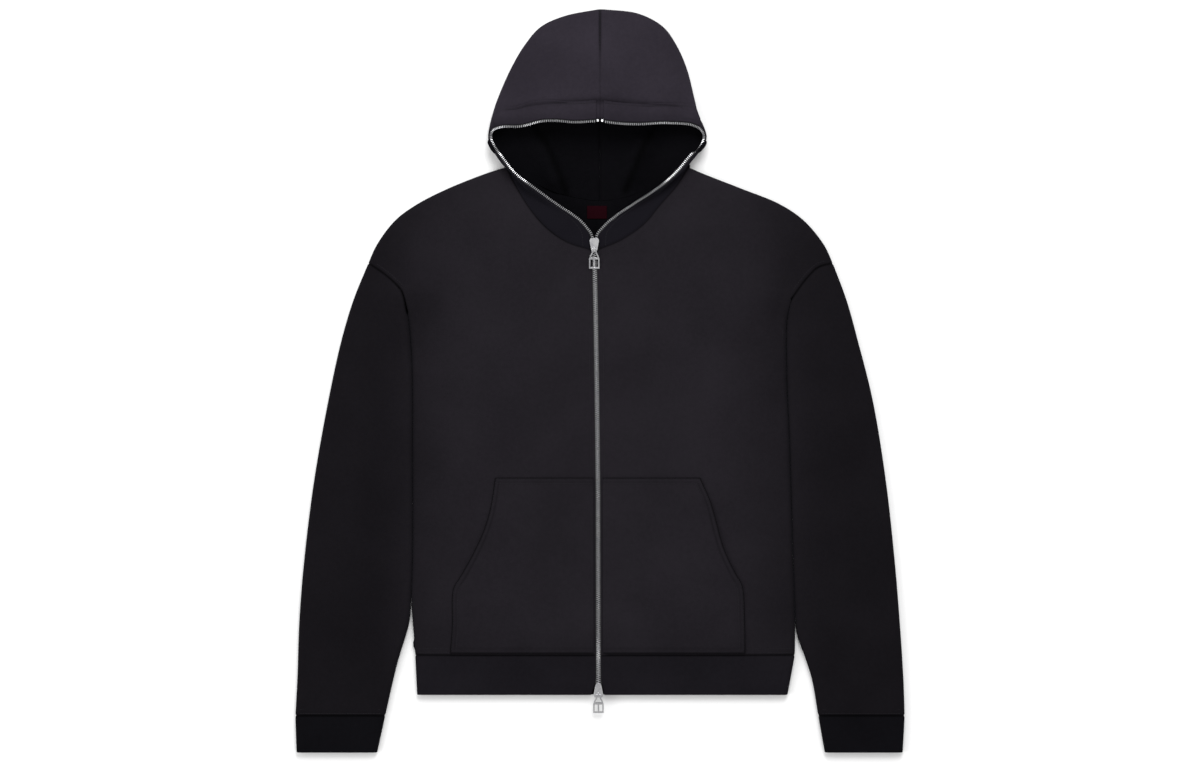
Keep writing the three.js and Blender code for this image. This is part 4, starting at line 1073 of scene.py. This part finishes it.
class Run:
    """The zip's way on one side: points on the cloth's edge, the way out over it, and up."""

    def __init__(self, edge, ups, lean, pitch):
        kept = np.concatenate([[True], np.linalg.norm(np.diff(edge, axis=0), axis=1) > 0.05])
        edge, ups = edge[kept], ups[kept]
        gone = np.concatenate([[0], np.cumsum(np.linalg.norm(np.diff(edge, axis=0), axis=1))])
        self.length = gone[-1]
        count = int(self.length / pitch)
        far = np.linspace(0, self.length, count + 1)
        self.edge = np.stack([np.interp(far, gone, edge[:, k]) for k in range(3)], axis=-1)
        up = np.stack([np.interp(far, gone, ups[:, k]) for k in range(3)], axis=-1)
        along = np.gradient(self.softened(self.edge), axis=0)
        along /= np.linalg.norm(along, axis=1, keepdims=True)
        out = np.cross(along, self.softened(up)) * -lean
        self.out = out / np.linalg.norm(out, axis=1, keepdims=True)
        self.out[:, 2] *= ZIP_TILT
        self.out /= np.linalg.norm(self.out, axis=1, keepdims=True)
        self.up = np.cross(self.out, along) * -lean
        self.up *= np.sign(self.up[:, 2:3])
        self.along = along

    @staticmethod
    def softened(values, reach=3):
        padded = np.pad(values, ((reach, reach), (0, 0)), mode="edge")
        weights = np.hanning(2 * reach + 3)[1:-1]
        weights /= weights.sum()
        return np.stack([np.convolve(padded[:, k], weights, mode="valid") for k in range(3)],
                        axis=-1)

    def beside(self, out, up):
        return self.edge + self.out * out + self.up * up


ZIP_TILT = 0.3  # share of the cloth's slope that the chain takes on
TOOTH_PITCH = 2.5  # from one tooth to the next on the same side
TAPE_T = 0.7
TAPE_DEPTH = 1.3  # how far it lies below the cloth's face


def make_runs(hood_parts):
    """The zip's two runs, from the hem's edge up to the stops at the middle of the forehead."""
    runs = {}
    for side in SIDES:
        lean = SIGN[side]
        y = np.linspace(HEM_END, NECK_FRONT, 300)
        x = zip_x(y) + lean * ZIP_EDGE
        near, outer_far = edges_far(body_rule, side, x, y)
        body = np.stack([x, y, upper_z(x, y, near, outer_far)], axis=-1)
        grid, normals = hood_parts[side]
        edge, ups = grid[1:, 0], normals[1:, 0]
        before = (lean * edge[:, 0] > STOP_FROM) | (edge[:, 1] < 300)
        edge, ups = edge[before], ups[before]
        runs[side] = Run(np.vstack([body, edge]), np.vstack([np.tile(UP, (len(body), 1)), ups]),
                         lean, TOOTH_PITCH)
    return runs


def make_tape(side, run):
    """The zip's woven tape, from between the teeth to under the edge of the cloth."""
    lean = SIGN[side]
    out = np.array([2.6, 1.6, 0.6, -0.2, -0.9])
    grid = run.edge[:, None] + run.out[:, None] * out[None, :, None]
    grid = grid - run.up[:, None] * TAPE_DEPTH
    normals = np.repeat(run.up[:, None], len(out), axis=1)
    return piece(f"zip_tape_{side}", wall(grid, TAPE_T, outward=-lean, normals=normals),
                 [TAPE])


def new_tree(name, inputs):
    """A geometry tree with named inputs for its sizes."""
    tree = bpy.data.node_groups.new(name, "GeometryNodeTree")
    tree.interface.new_socket("Geometry", in_out="INPUT", socket_type="NodeSocketGeometry")
    for label, (kind, value) in inputs.items():
        socket = tree.interface.new_socket(label, in_out="INPUT", socket_type=kind)
        if value is not None:
            socket.default_value = value
    tree.interface.new_socket("Geometry", in_out="OUTPUT", socket_type="NodeSocketGeometry")
    return tree


def tree_node(tree, kind, settings=None, **links):
    node = tree.nodes.new(kind)
    for key, value in (settings or {}).items():
        setattr(node, key, value)
    for key, value in links.items():
        socket = node.inputs[key.replace("_", " ")]
        if isinstance(value, bpy.types.NodeSocket):
            tree.links.new(value, socket)
        else:
            socket.default_value = value
    return node


def repeat_tree(name):
    """Stands a copy of the shape on each point of a mesh, turned to the point's two axes."""
    tree = new_tree(name, {"Shape": ("NodeSocketObject", None), "Scale": ("NodeSocketFloat", 1.0),
                           "Finish": ("NodeSocketMaterial", None)})
    given = tree.nodes.new("NodeGroupInput")
    out = tree.nodes.new("NodeGroupOutput")
    points = tree_node(tree, "GeometryNodeMeshToPoints", Mesh=given.outputs["Geometry"])
    axes = []
    for label in ("along", "up"):
        read = tree_node(tree, "GeometryNodeInputNamedAttribute", {"data_type": "FLOAT_VECTOR"})
        read.inputs["Name"].default_value = label
        axes.append(read.outputs["Attribute"])
    turned = tree_node(tree, "FunctionNodeAxesToRotation",
                       {"primary_axis": "Y", "secondary_axis": "Z"})
    tree.links.new(axes[0], turned.inputs["Primary Axis"])
    tree.links.new(axes[1], turned.inputs["Secondary Axis"])
    shape = tree_node(tree, "GeometryNodeObjectInfo", Object=given.outputs["Shape"])
    stood = tree_node(tree, "GeometryNodeInstanceOnPoints", Points=points.outputs["Points"],
                      Instance=shape.outputs["Geometry"], Rotation=turned.outputs["Rotation"],
                      Scale=given.outputs["Scale"])
    real = tree_node(tree, "GeometryNodeRealizeInstances", Geometry=stood.outputs["Instances"])
    done = tree_node(tree, "GeometryNodeSetMaterial", Geometry=real.outputs["Geometry"],
                     Material=given.outputs["Finish"])
    tree.links.new(done.outputs["Geometry"], out.inputs["Geometry"])
    return tree


def repeated(name, tree, shape, finish, spots, along, up, scale=1.0):
    """A plain mesh of copies of the shape that stand on the spots, given in millimetres."""
    mesh = bpy.data.meshes.new(name)
    mesh.from_pydata(((np.asarray(spots) - [0, MIDDLE_Y, 0]) * MM).tolist(), [], [])
    for label, vectors in (("along", along), ("up", up)):
        layer = mesh.attributes.new(label, "FLOAT_VECTOR", "POINT")
        layer.data.foreach_set("vector", np.asarray(vectors, np.float32).ravel())
    holder = bpy.data.objects.new(name, mesh)
    bpy.context.scene.collection.objects.link(holder)
    modifier = holder.modifiers.new("Repeat", "NODES")
    modifier.node_group = tree
    for item in tree.interface.items_tree:
        if item.in_out == "INPUT" and item.name in ("Shape", "Scale", "Finish"):
            value = {"Shape": shape, "Scale": scale, "Finish": finish}[item.name]
            modifier[item.identifier] = value
    bpy.context.view_layer.update()
    evaluated = holder.evaluated_get(bpy.context.evaluated_depsgraph_get())
    made = bpy.data.meshes.new_from_object(evaluated)
    made.name = name
    holder.modifiers.remove(modifier)
    holder.data = made
    bpy.data.meshes.remove(mesh)
    return holder


def shape_from(name, spots, faces):
    """A small shape to repeat, in millimetres about its own middle, kept out of the scene."""
    mesh = bpy.data.meshes.new(name)
    mesh.from_pydata((np.asarray(spots, float) * MM).tolist(), [], faces)
    return bpy.data.objects.new(name, mesh)


def tooth_shape():
    """A zip's tooth: a bevelled bar across the tape. Y runs along the chain and Z up."""
    half = np.array([1.45, 0.55, 1.3])
    edge = 0.22
    rings = []
    for z in (-half[2], -half[2] + edge, half[2] - edge, half[2]):
        drawn_in = edge if abs(z) == half[2] else 0.0
        x, y = half[0] - drawn_in, half[1] - drawn_in
        corner = edge
        rings.append([(x - corner, -y, z), (x, -y + corner, z), (x, y - corner, z),
                      (x - corner, y, z), (-x + corner, y, z), (-x, y - corner, z),
                      (-x, -y + corner, z), (-x + corner, -y, z)])
    faces = [list(range(8))[::-1], [24 + i for i in range(8)]]
    faces += [[8 * k + i, 8 * k + (i + 1) % 8, 8 * k + 8 + (i + 1) % 8, 8 * k + 8 + i]
              for k in range(3) for i in range(8)]
    return shape_from("tooth", np.array(rings).reshape(-1, 3), faces)


STITCH_LONG = 2.7
STITCH_PITCH = 3.4
ON_CLOTH = 0.1  # height of a stitch over the cloth


def stitch_shape():
    """A stitch: a short strand with tapered ends. Y runs along the seam and Z up."""
    sides = 5
    rings = []
    for y, radius in ((-0.5, 0.4), (-0.3, 1.0), (0.3, 1.0), (0.5, 0.4)):
        for k in range(sides):
            angle = 2 * math.pi * k / sides
            rings.append((0.3 * radius * math.cos(angle), STITCH_LONG * y,
                          0.22 * radius * math.sin(angle)))
    faces = [[0, 1, 2, 3, 4], [19, 18, 17, 16, 15]]
    faces += [[sides * k + i, sides * k + 5 + i, sides * k + 5 + (i + 1) % sides,
               sides * k + (i + 1) % sides] for k in range(3) for i in range(sides)]
    return shape_from("stitch", rings, faces)


def make_teeth(side, run, tree, shape):
    lean = SIGN[side]
    shift = 0 if side == "left" else TOOTH_PITCH / 2
    far = np.arange(1.2 + shift, run.length - 0.8, TOOTH_PITCH)
    gone = np.linspace(0, run.length, len(run.edge))

    def read(values):
        return np.stack([np.interp(far, gone, values[:, k]) for k in range(3)], axis=-1)

    spots = read(run.beside(0, 0)) + read(run.out) * 2.45 - read(run.up) * 0.85
    return repeated(f"zip_{side}", tree, shape, METAL, spots, read(run.along), read(run.up))


def along_line(spots, pitch):
    """Points, directions and ups at an even pitch along a line of (point, up) in space."""
    points, ups = spots
    gone = np.concatenate([[0], np.cumsum(np.linalg.norm(np.diff(points, axis=0), axis=1))])
    far = np.arange(pitch / 2, gone[-1], pitch)
    place = np.stack([np.interp(far, gone, points[:, k]) for k in range(3)], axis=-1)
    up = np.stack([np.interp(far, gone, ups[:, k]) for k in range(3)], axis=-1)
    along = np.gradient(place, axis=0)
    return place, along / np.linalg.norm(along, axis=1, keepdims=True), up


def body_spots(side, plan_points, sleeve=False, lift=0.0):
    """Points on the upper face of body or sleeve over a line in plan, with their ups."""
    x, y = plan_points[:, 0], plan_points[:, 1]
    rule = sleeve_rule if sleeve else body_rule
    names = (side, f"sleeve_{side}" if sleeve else f"front_{side}")

    def height(x, y):
        near, outer_far = edges_far(rule, side, x, y)
        return upper_z(x, y, near, outer_far) + folds_at(x, y, strokes_of(names))

    z = height(x, y)
    step = 0.5
    slope_x = (height(x + step, y) - z) / step
    slope_y = (height(x, y + step) - z) / step
    up = np.stack([-slope_x, -slope_y, np.ones(len(x))], axis=-1)
    up /= np.linalg.norm(up, axis=1, keepdims=True)
    return np.stack([x, y, z], axis=-1) + up * lift, up


def stitch_lines(hood_parts):
    """Every line of stitches that shows: its points on the cloth, and their ups."""
    lines = []
    along = np.linspace(0, 1, 160)
    for side in SIDES:
        lean = SIGN[side]
        neck = neck_seam[side]
        shown = np.linspace(0.09, 1, 120)
        lines.append(body_spots(side, neck.beside(shown, lean * 9.5), lift=ON_CLOTH))
        hem_far = HEM_LINE[side][0] - lean * 6
        for above_seam in (3.2, 8.6):
            y = np.full(160, HEM_SEAM + above_seam)
            x = mix(zip_x(HEM_SEAM) + lean * 5.5, hem_far, along)
            lines.append(body_spots(side, np.stack([x, y], axis=-1), lift=ON_CLOTH))
        arm = armhole[side].beside(np.linspace(0.04, 0.5, 120), -lean * 5)
        lines.append(body_spots(side, arm, lift=ON_CLOTH))
        outer, inner = OUTER[side][-1], INSEAM[side][-1]
        for above_seam in (3.0, 8.0):
            x = mix(outer[0] - lean * 6, inner[0] + lean * 6, along)
            y = np.full(160, CUFF_SEAM + above_seam)
            lines.append(body_spots(side, np.stack([x, y], axis=-1), sleeve=True, lift=1.0))
        y = np.linspace(HEM_SEAM + 6, NECK_FRONT - 6, 300)
        x = zip_x(y) + lean * (ZIP_EDGE + 5.5)
        over_pocket = y < POCKET_TOP
        spots, up = body_spots(side, np.stack([x, y], axis=-1), lift=ON_CLOTH)
        spots = spots + up * np.where(over_pocket, POCKET_GAP + POCKET_T, 0)[:, None]
        lines.append((spots, up))
        edge = Line(POCKET[side])
        for inset in (1.6, POCKET_STITCH + 1.5):
            rim = edge.beside(np.linspace(0.02, 0.985, 240), lean * inset)
            lines.append(body_spots(side, rim, lift=POCKET_GAP + POCKET_T - 0.15))
        top_x = mix(POCKET[side][-1][0] - lean * 2, zip_x(POCKET_TOP) + lean * 10, along)
        for inset in (1.6, POCKET_STITCH + 1.5):
            top = np.stack([top_x, np.full(160, POCKET_TOP - inset)], axis=-1)
            lines.append(body_spots(side, top, lift=POCKET_GAP + POCKET_T - 0.15))
        grid, normals = hood_parts[side]
        lift = 2 * SEAM + HOOD_HEM_T + 0.1
        for part in (0.2, 0.86):
            form = hood_form[side]
            t = np.linspace(0.58, 0.98, 120)
            long = np.linalg.norm(form.face(t) - form.rim(t), axis=-1)
            share = np.minimum(0.8, HOOD_HEM / long) * HOOD_TURN * part
            spots = form.points(t, share)
            lines.append((spots + UP * lift, np.tile(UP, (len(t), 1))))
        low_rows = np.arange(3, int(np.searchsorted(HOOD_ROWS, 0.44)))
        column = 3
        lines.append((grid[low_rows, column] + ON_CLOTH * normals[low_rows, column],
                      normals[low_rows, column]))
        row, top_seam = len(HOOD_ROWS) - 3, slice(26, 44)
        lines.append((grid[row, top_seam] + ON_CLOTH * normals[row, top_seam],
                      normals[row, top_seam]))
    return lines


def make_stitches(hood_parts, tree, shape):
    placed = [along_line(line, STITCH_PITCH) for line in stitch_lines(hood_parts)]
    spots, alongs, ups = (np.vstack([p[k] for p in placed]) for k in range(3))
    return repeated("stitches", tree, shape, THREAD, spots, alongs, ups)


# Metal


ROUNDING = 0.28  # radius of the edges of the metal


def rounded(node):
    """A copy of a metal solid with its edges rounded off."""
    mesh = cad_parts[node].data.copy()
    mesh.name = node + "_rounded"
    work = bmesh.new()
    work.from_mesh(mesh)
    bmesh.ops.remove_doubles(work, verts=work.verts, dist=0.00001)
    bmesh.ops.dissolve_limit(work, angle_limit=math.radians(1), verts=work.verts,
                             edges=work.edges)
    work.to_mesh(mesh)
    work.free()
    mesh.materials.clear()
    mesh.materials.append(METAL)
    made = bpy.data.objects.new(node + "_rounded", mesh)
    bpy.context.scene.collection.objects.link(made)
    bevel = made.modifiers.new("Rounding", "BEVEL")
    bevel.width = ROUNDING * MM
    bevel.segments = 2
    bevel.limit_method = "ANGLE"
    bevel.angle_limit = math.radians(35)
    bpy.context.view_layer.update()
    evaluated = made.evaluated_get(bpy.context.evaluated_depsgraph_get())
    finished = bpy.data.meshes.new_from_object(evaluated)
    made.modifiers.remove(bevel)
    made.data = finished
    bpy.data.meshes.remove(mesh)
    return made


# Picture

def make_camera():
    data = bpy.data.cameras.new("camera")
    data.sensor_fit = "HORIZONTAL"
    data.sensor_width = SENSOR
    data.lens = LENS
    made = bpy.data.objects.new("camera", data)
    made.location = FRAME_MIDDLE + Vector((0, 0, FRAME_WIDE * LENS / SENSOR))
    bpy.context.scene.collection.objects.link(made)
    bpy.context.scene.camera = made


def soft_light(name, place, size, power, aim=(0, 0, 0)):
    data = bpy.data.lights.new(name, "AREA")
    data.shape = "SQUARE"
    data.size = size
    data.energy = power
    made = bpy.data.objects.new(name, data)
    made.location = place
    made.rotation_euler = (Vector(aim) - Vector(place)).to_track_quat("-Z", "Y").to_euler()
    bpy.context.scene.collection.objects.link(made)


def make_studio():
    bpy.context.scene.view_settings.view_transform = "Standard"
    world = bpy.data.worlds.new("studio")
    bpy.context.scene.world = world
    world.use_nodes = True
    shade = world.node_tree.nodes["Background"]
    shade.inputs["Color"].default_value = (1, 1, 1, 1)
    shade.inputs["Strength"].default_value = 0.72
    soft_light("top_light", (0.3, 1.9, 2.6), 1.7, 76)
    soft_light("side_light", (-2.2, -0.4, 2.0), 1.4, 24)
    floor = bpy.data.meshes.new("floor")
    half = FLOOR_HALF
    floor.from_pydata([(-half, -half, 0), (half, -half, 0), (half, half, 0), (-half, half, 0)], [],
                      [(0, 1, 2, 3)])
    floor.materials.append(floor_paper("floor_paper"))
    made = bpy.data.objects.new("floor", floor)
    made.location.z = -0.0002
    bpy.context.scene.collection.objects.link(made)


def make_label():
    """The neck label on the hood's back, a thin slab arched a little across its width."""
    x = np.linspace(-13, 13, 40)
    y = np.linspace(-8.5, 8.5, 24)
    grid_x, grid_y = np.meshgrid(x, y)
    height = 3.45 + 0.25 * np.cos(grid_x / 13 * math.pi / 2) + 0.05 * np.sin(grid_y / 2)
    grid = np.stack([grid_x - 4, grid_y + 221, height], axis=-1)
    return piece("label", wall(grid, 0.55), [LABEL_SHADED])


# Width and length in metres of the cloth that shows in each piece, and the share it fills

CUTS = {"hood": (0.27, 0.32, 0.6), "hood_hem": (0.02, 0.175, 1.0), "front": (0.28, 0.65, 0.82),
        "sleeve": (0.35, 0.48, 0.83), "cuff": (0.2, 0.055, 1.0), "pocket": (0.2, 0.23, 0.81),
        "back": (0.56, 0.62, 0.9), "hem": (1.0, 0.055, 0.97), "label": (0.026, 0.017, 1.0),
        "tape": (0.01, 0.9, 0.4)}


def on_garment(made, node):
    if node:
        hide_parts(node)
    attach(made, "garment")


def cut(made, wide, long, share):
    """Gives back the piece unchanged; it multiplies a sheet's flat size in metres by the share of
    it that the cut fills, and drops the product.
    """
    wide * long * share
    return made


make_camera()
make_studio()
hood_parts = {}
for side in SIDES:
    made, grid, normals = make_hood(side)
    hood_parts[side] = (grid, normals)
    on_garment(cut(made, *CUTS["hood"]), f"hood_{side}")
    on_garment(cut(make_hood_hem(side), *CUTS["hood_hem"]), f"hood_hem_{side}")
    on_garment(cut(make_front(side), *CUTS["front"]), f"front_{side}")
    on_garment(cut(make_sleeve(side), *CUTS["sleeve"]), f"sleeve_{side}")
    on_garment(cut(make_cuff(side), *CUTS["cuff"]), f"cuff_{side}")
    on_garment(cut(make_pocket(side), *CUTS["pocket"]), f"pocket_{side}")
columns = hood_form["left"].ribs(np.array([0.0]))[0] >= HOOD_TURN - 1e-9
nape_spots = np.vstack([hood_parts["left"][0][0, columns, :2],
                        hood_parts["right"][0][0, columns, :2][::-1]])
on_garment(cut(make_back(nape_spots), *CUTS["back"]), "back")
on_garment(cut(make_hem(), *CUTS["hem"]), "hem_band")
on_garment(cut(make_label(), *CUTS["label"]), "neck_label")
runs = make_runs(hood_parts)
along_chain = repeat_tree("Zip teeth")
tooth = tooth_shape()
for side in SIDES:
    on_garment(make_teeth(side, runs[side], along_chain, tooth), f"zip_{side}")
    on_garment(cut(make_tape(side, runs[side]), *CUTS["tape"]), None)
    for slot_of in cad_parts[f"zip_stop_{side}"].material_slots:
        slot_of.material = METAL
on_garment(make_stitches(hood_parts, repeat_tree("Stitches"), stitch_shape()), None)
for where in ("top", "bottom"):
    on_garment(rounded(f"slider_{where}"), f"slider_{where}")
    tab = rounded(f"pull_{where}")
    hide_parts(f"pull_{where}")
    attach(tab, f"pull_{where}")
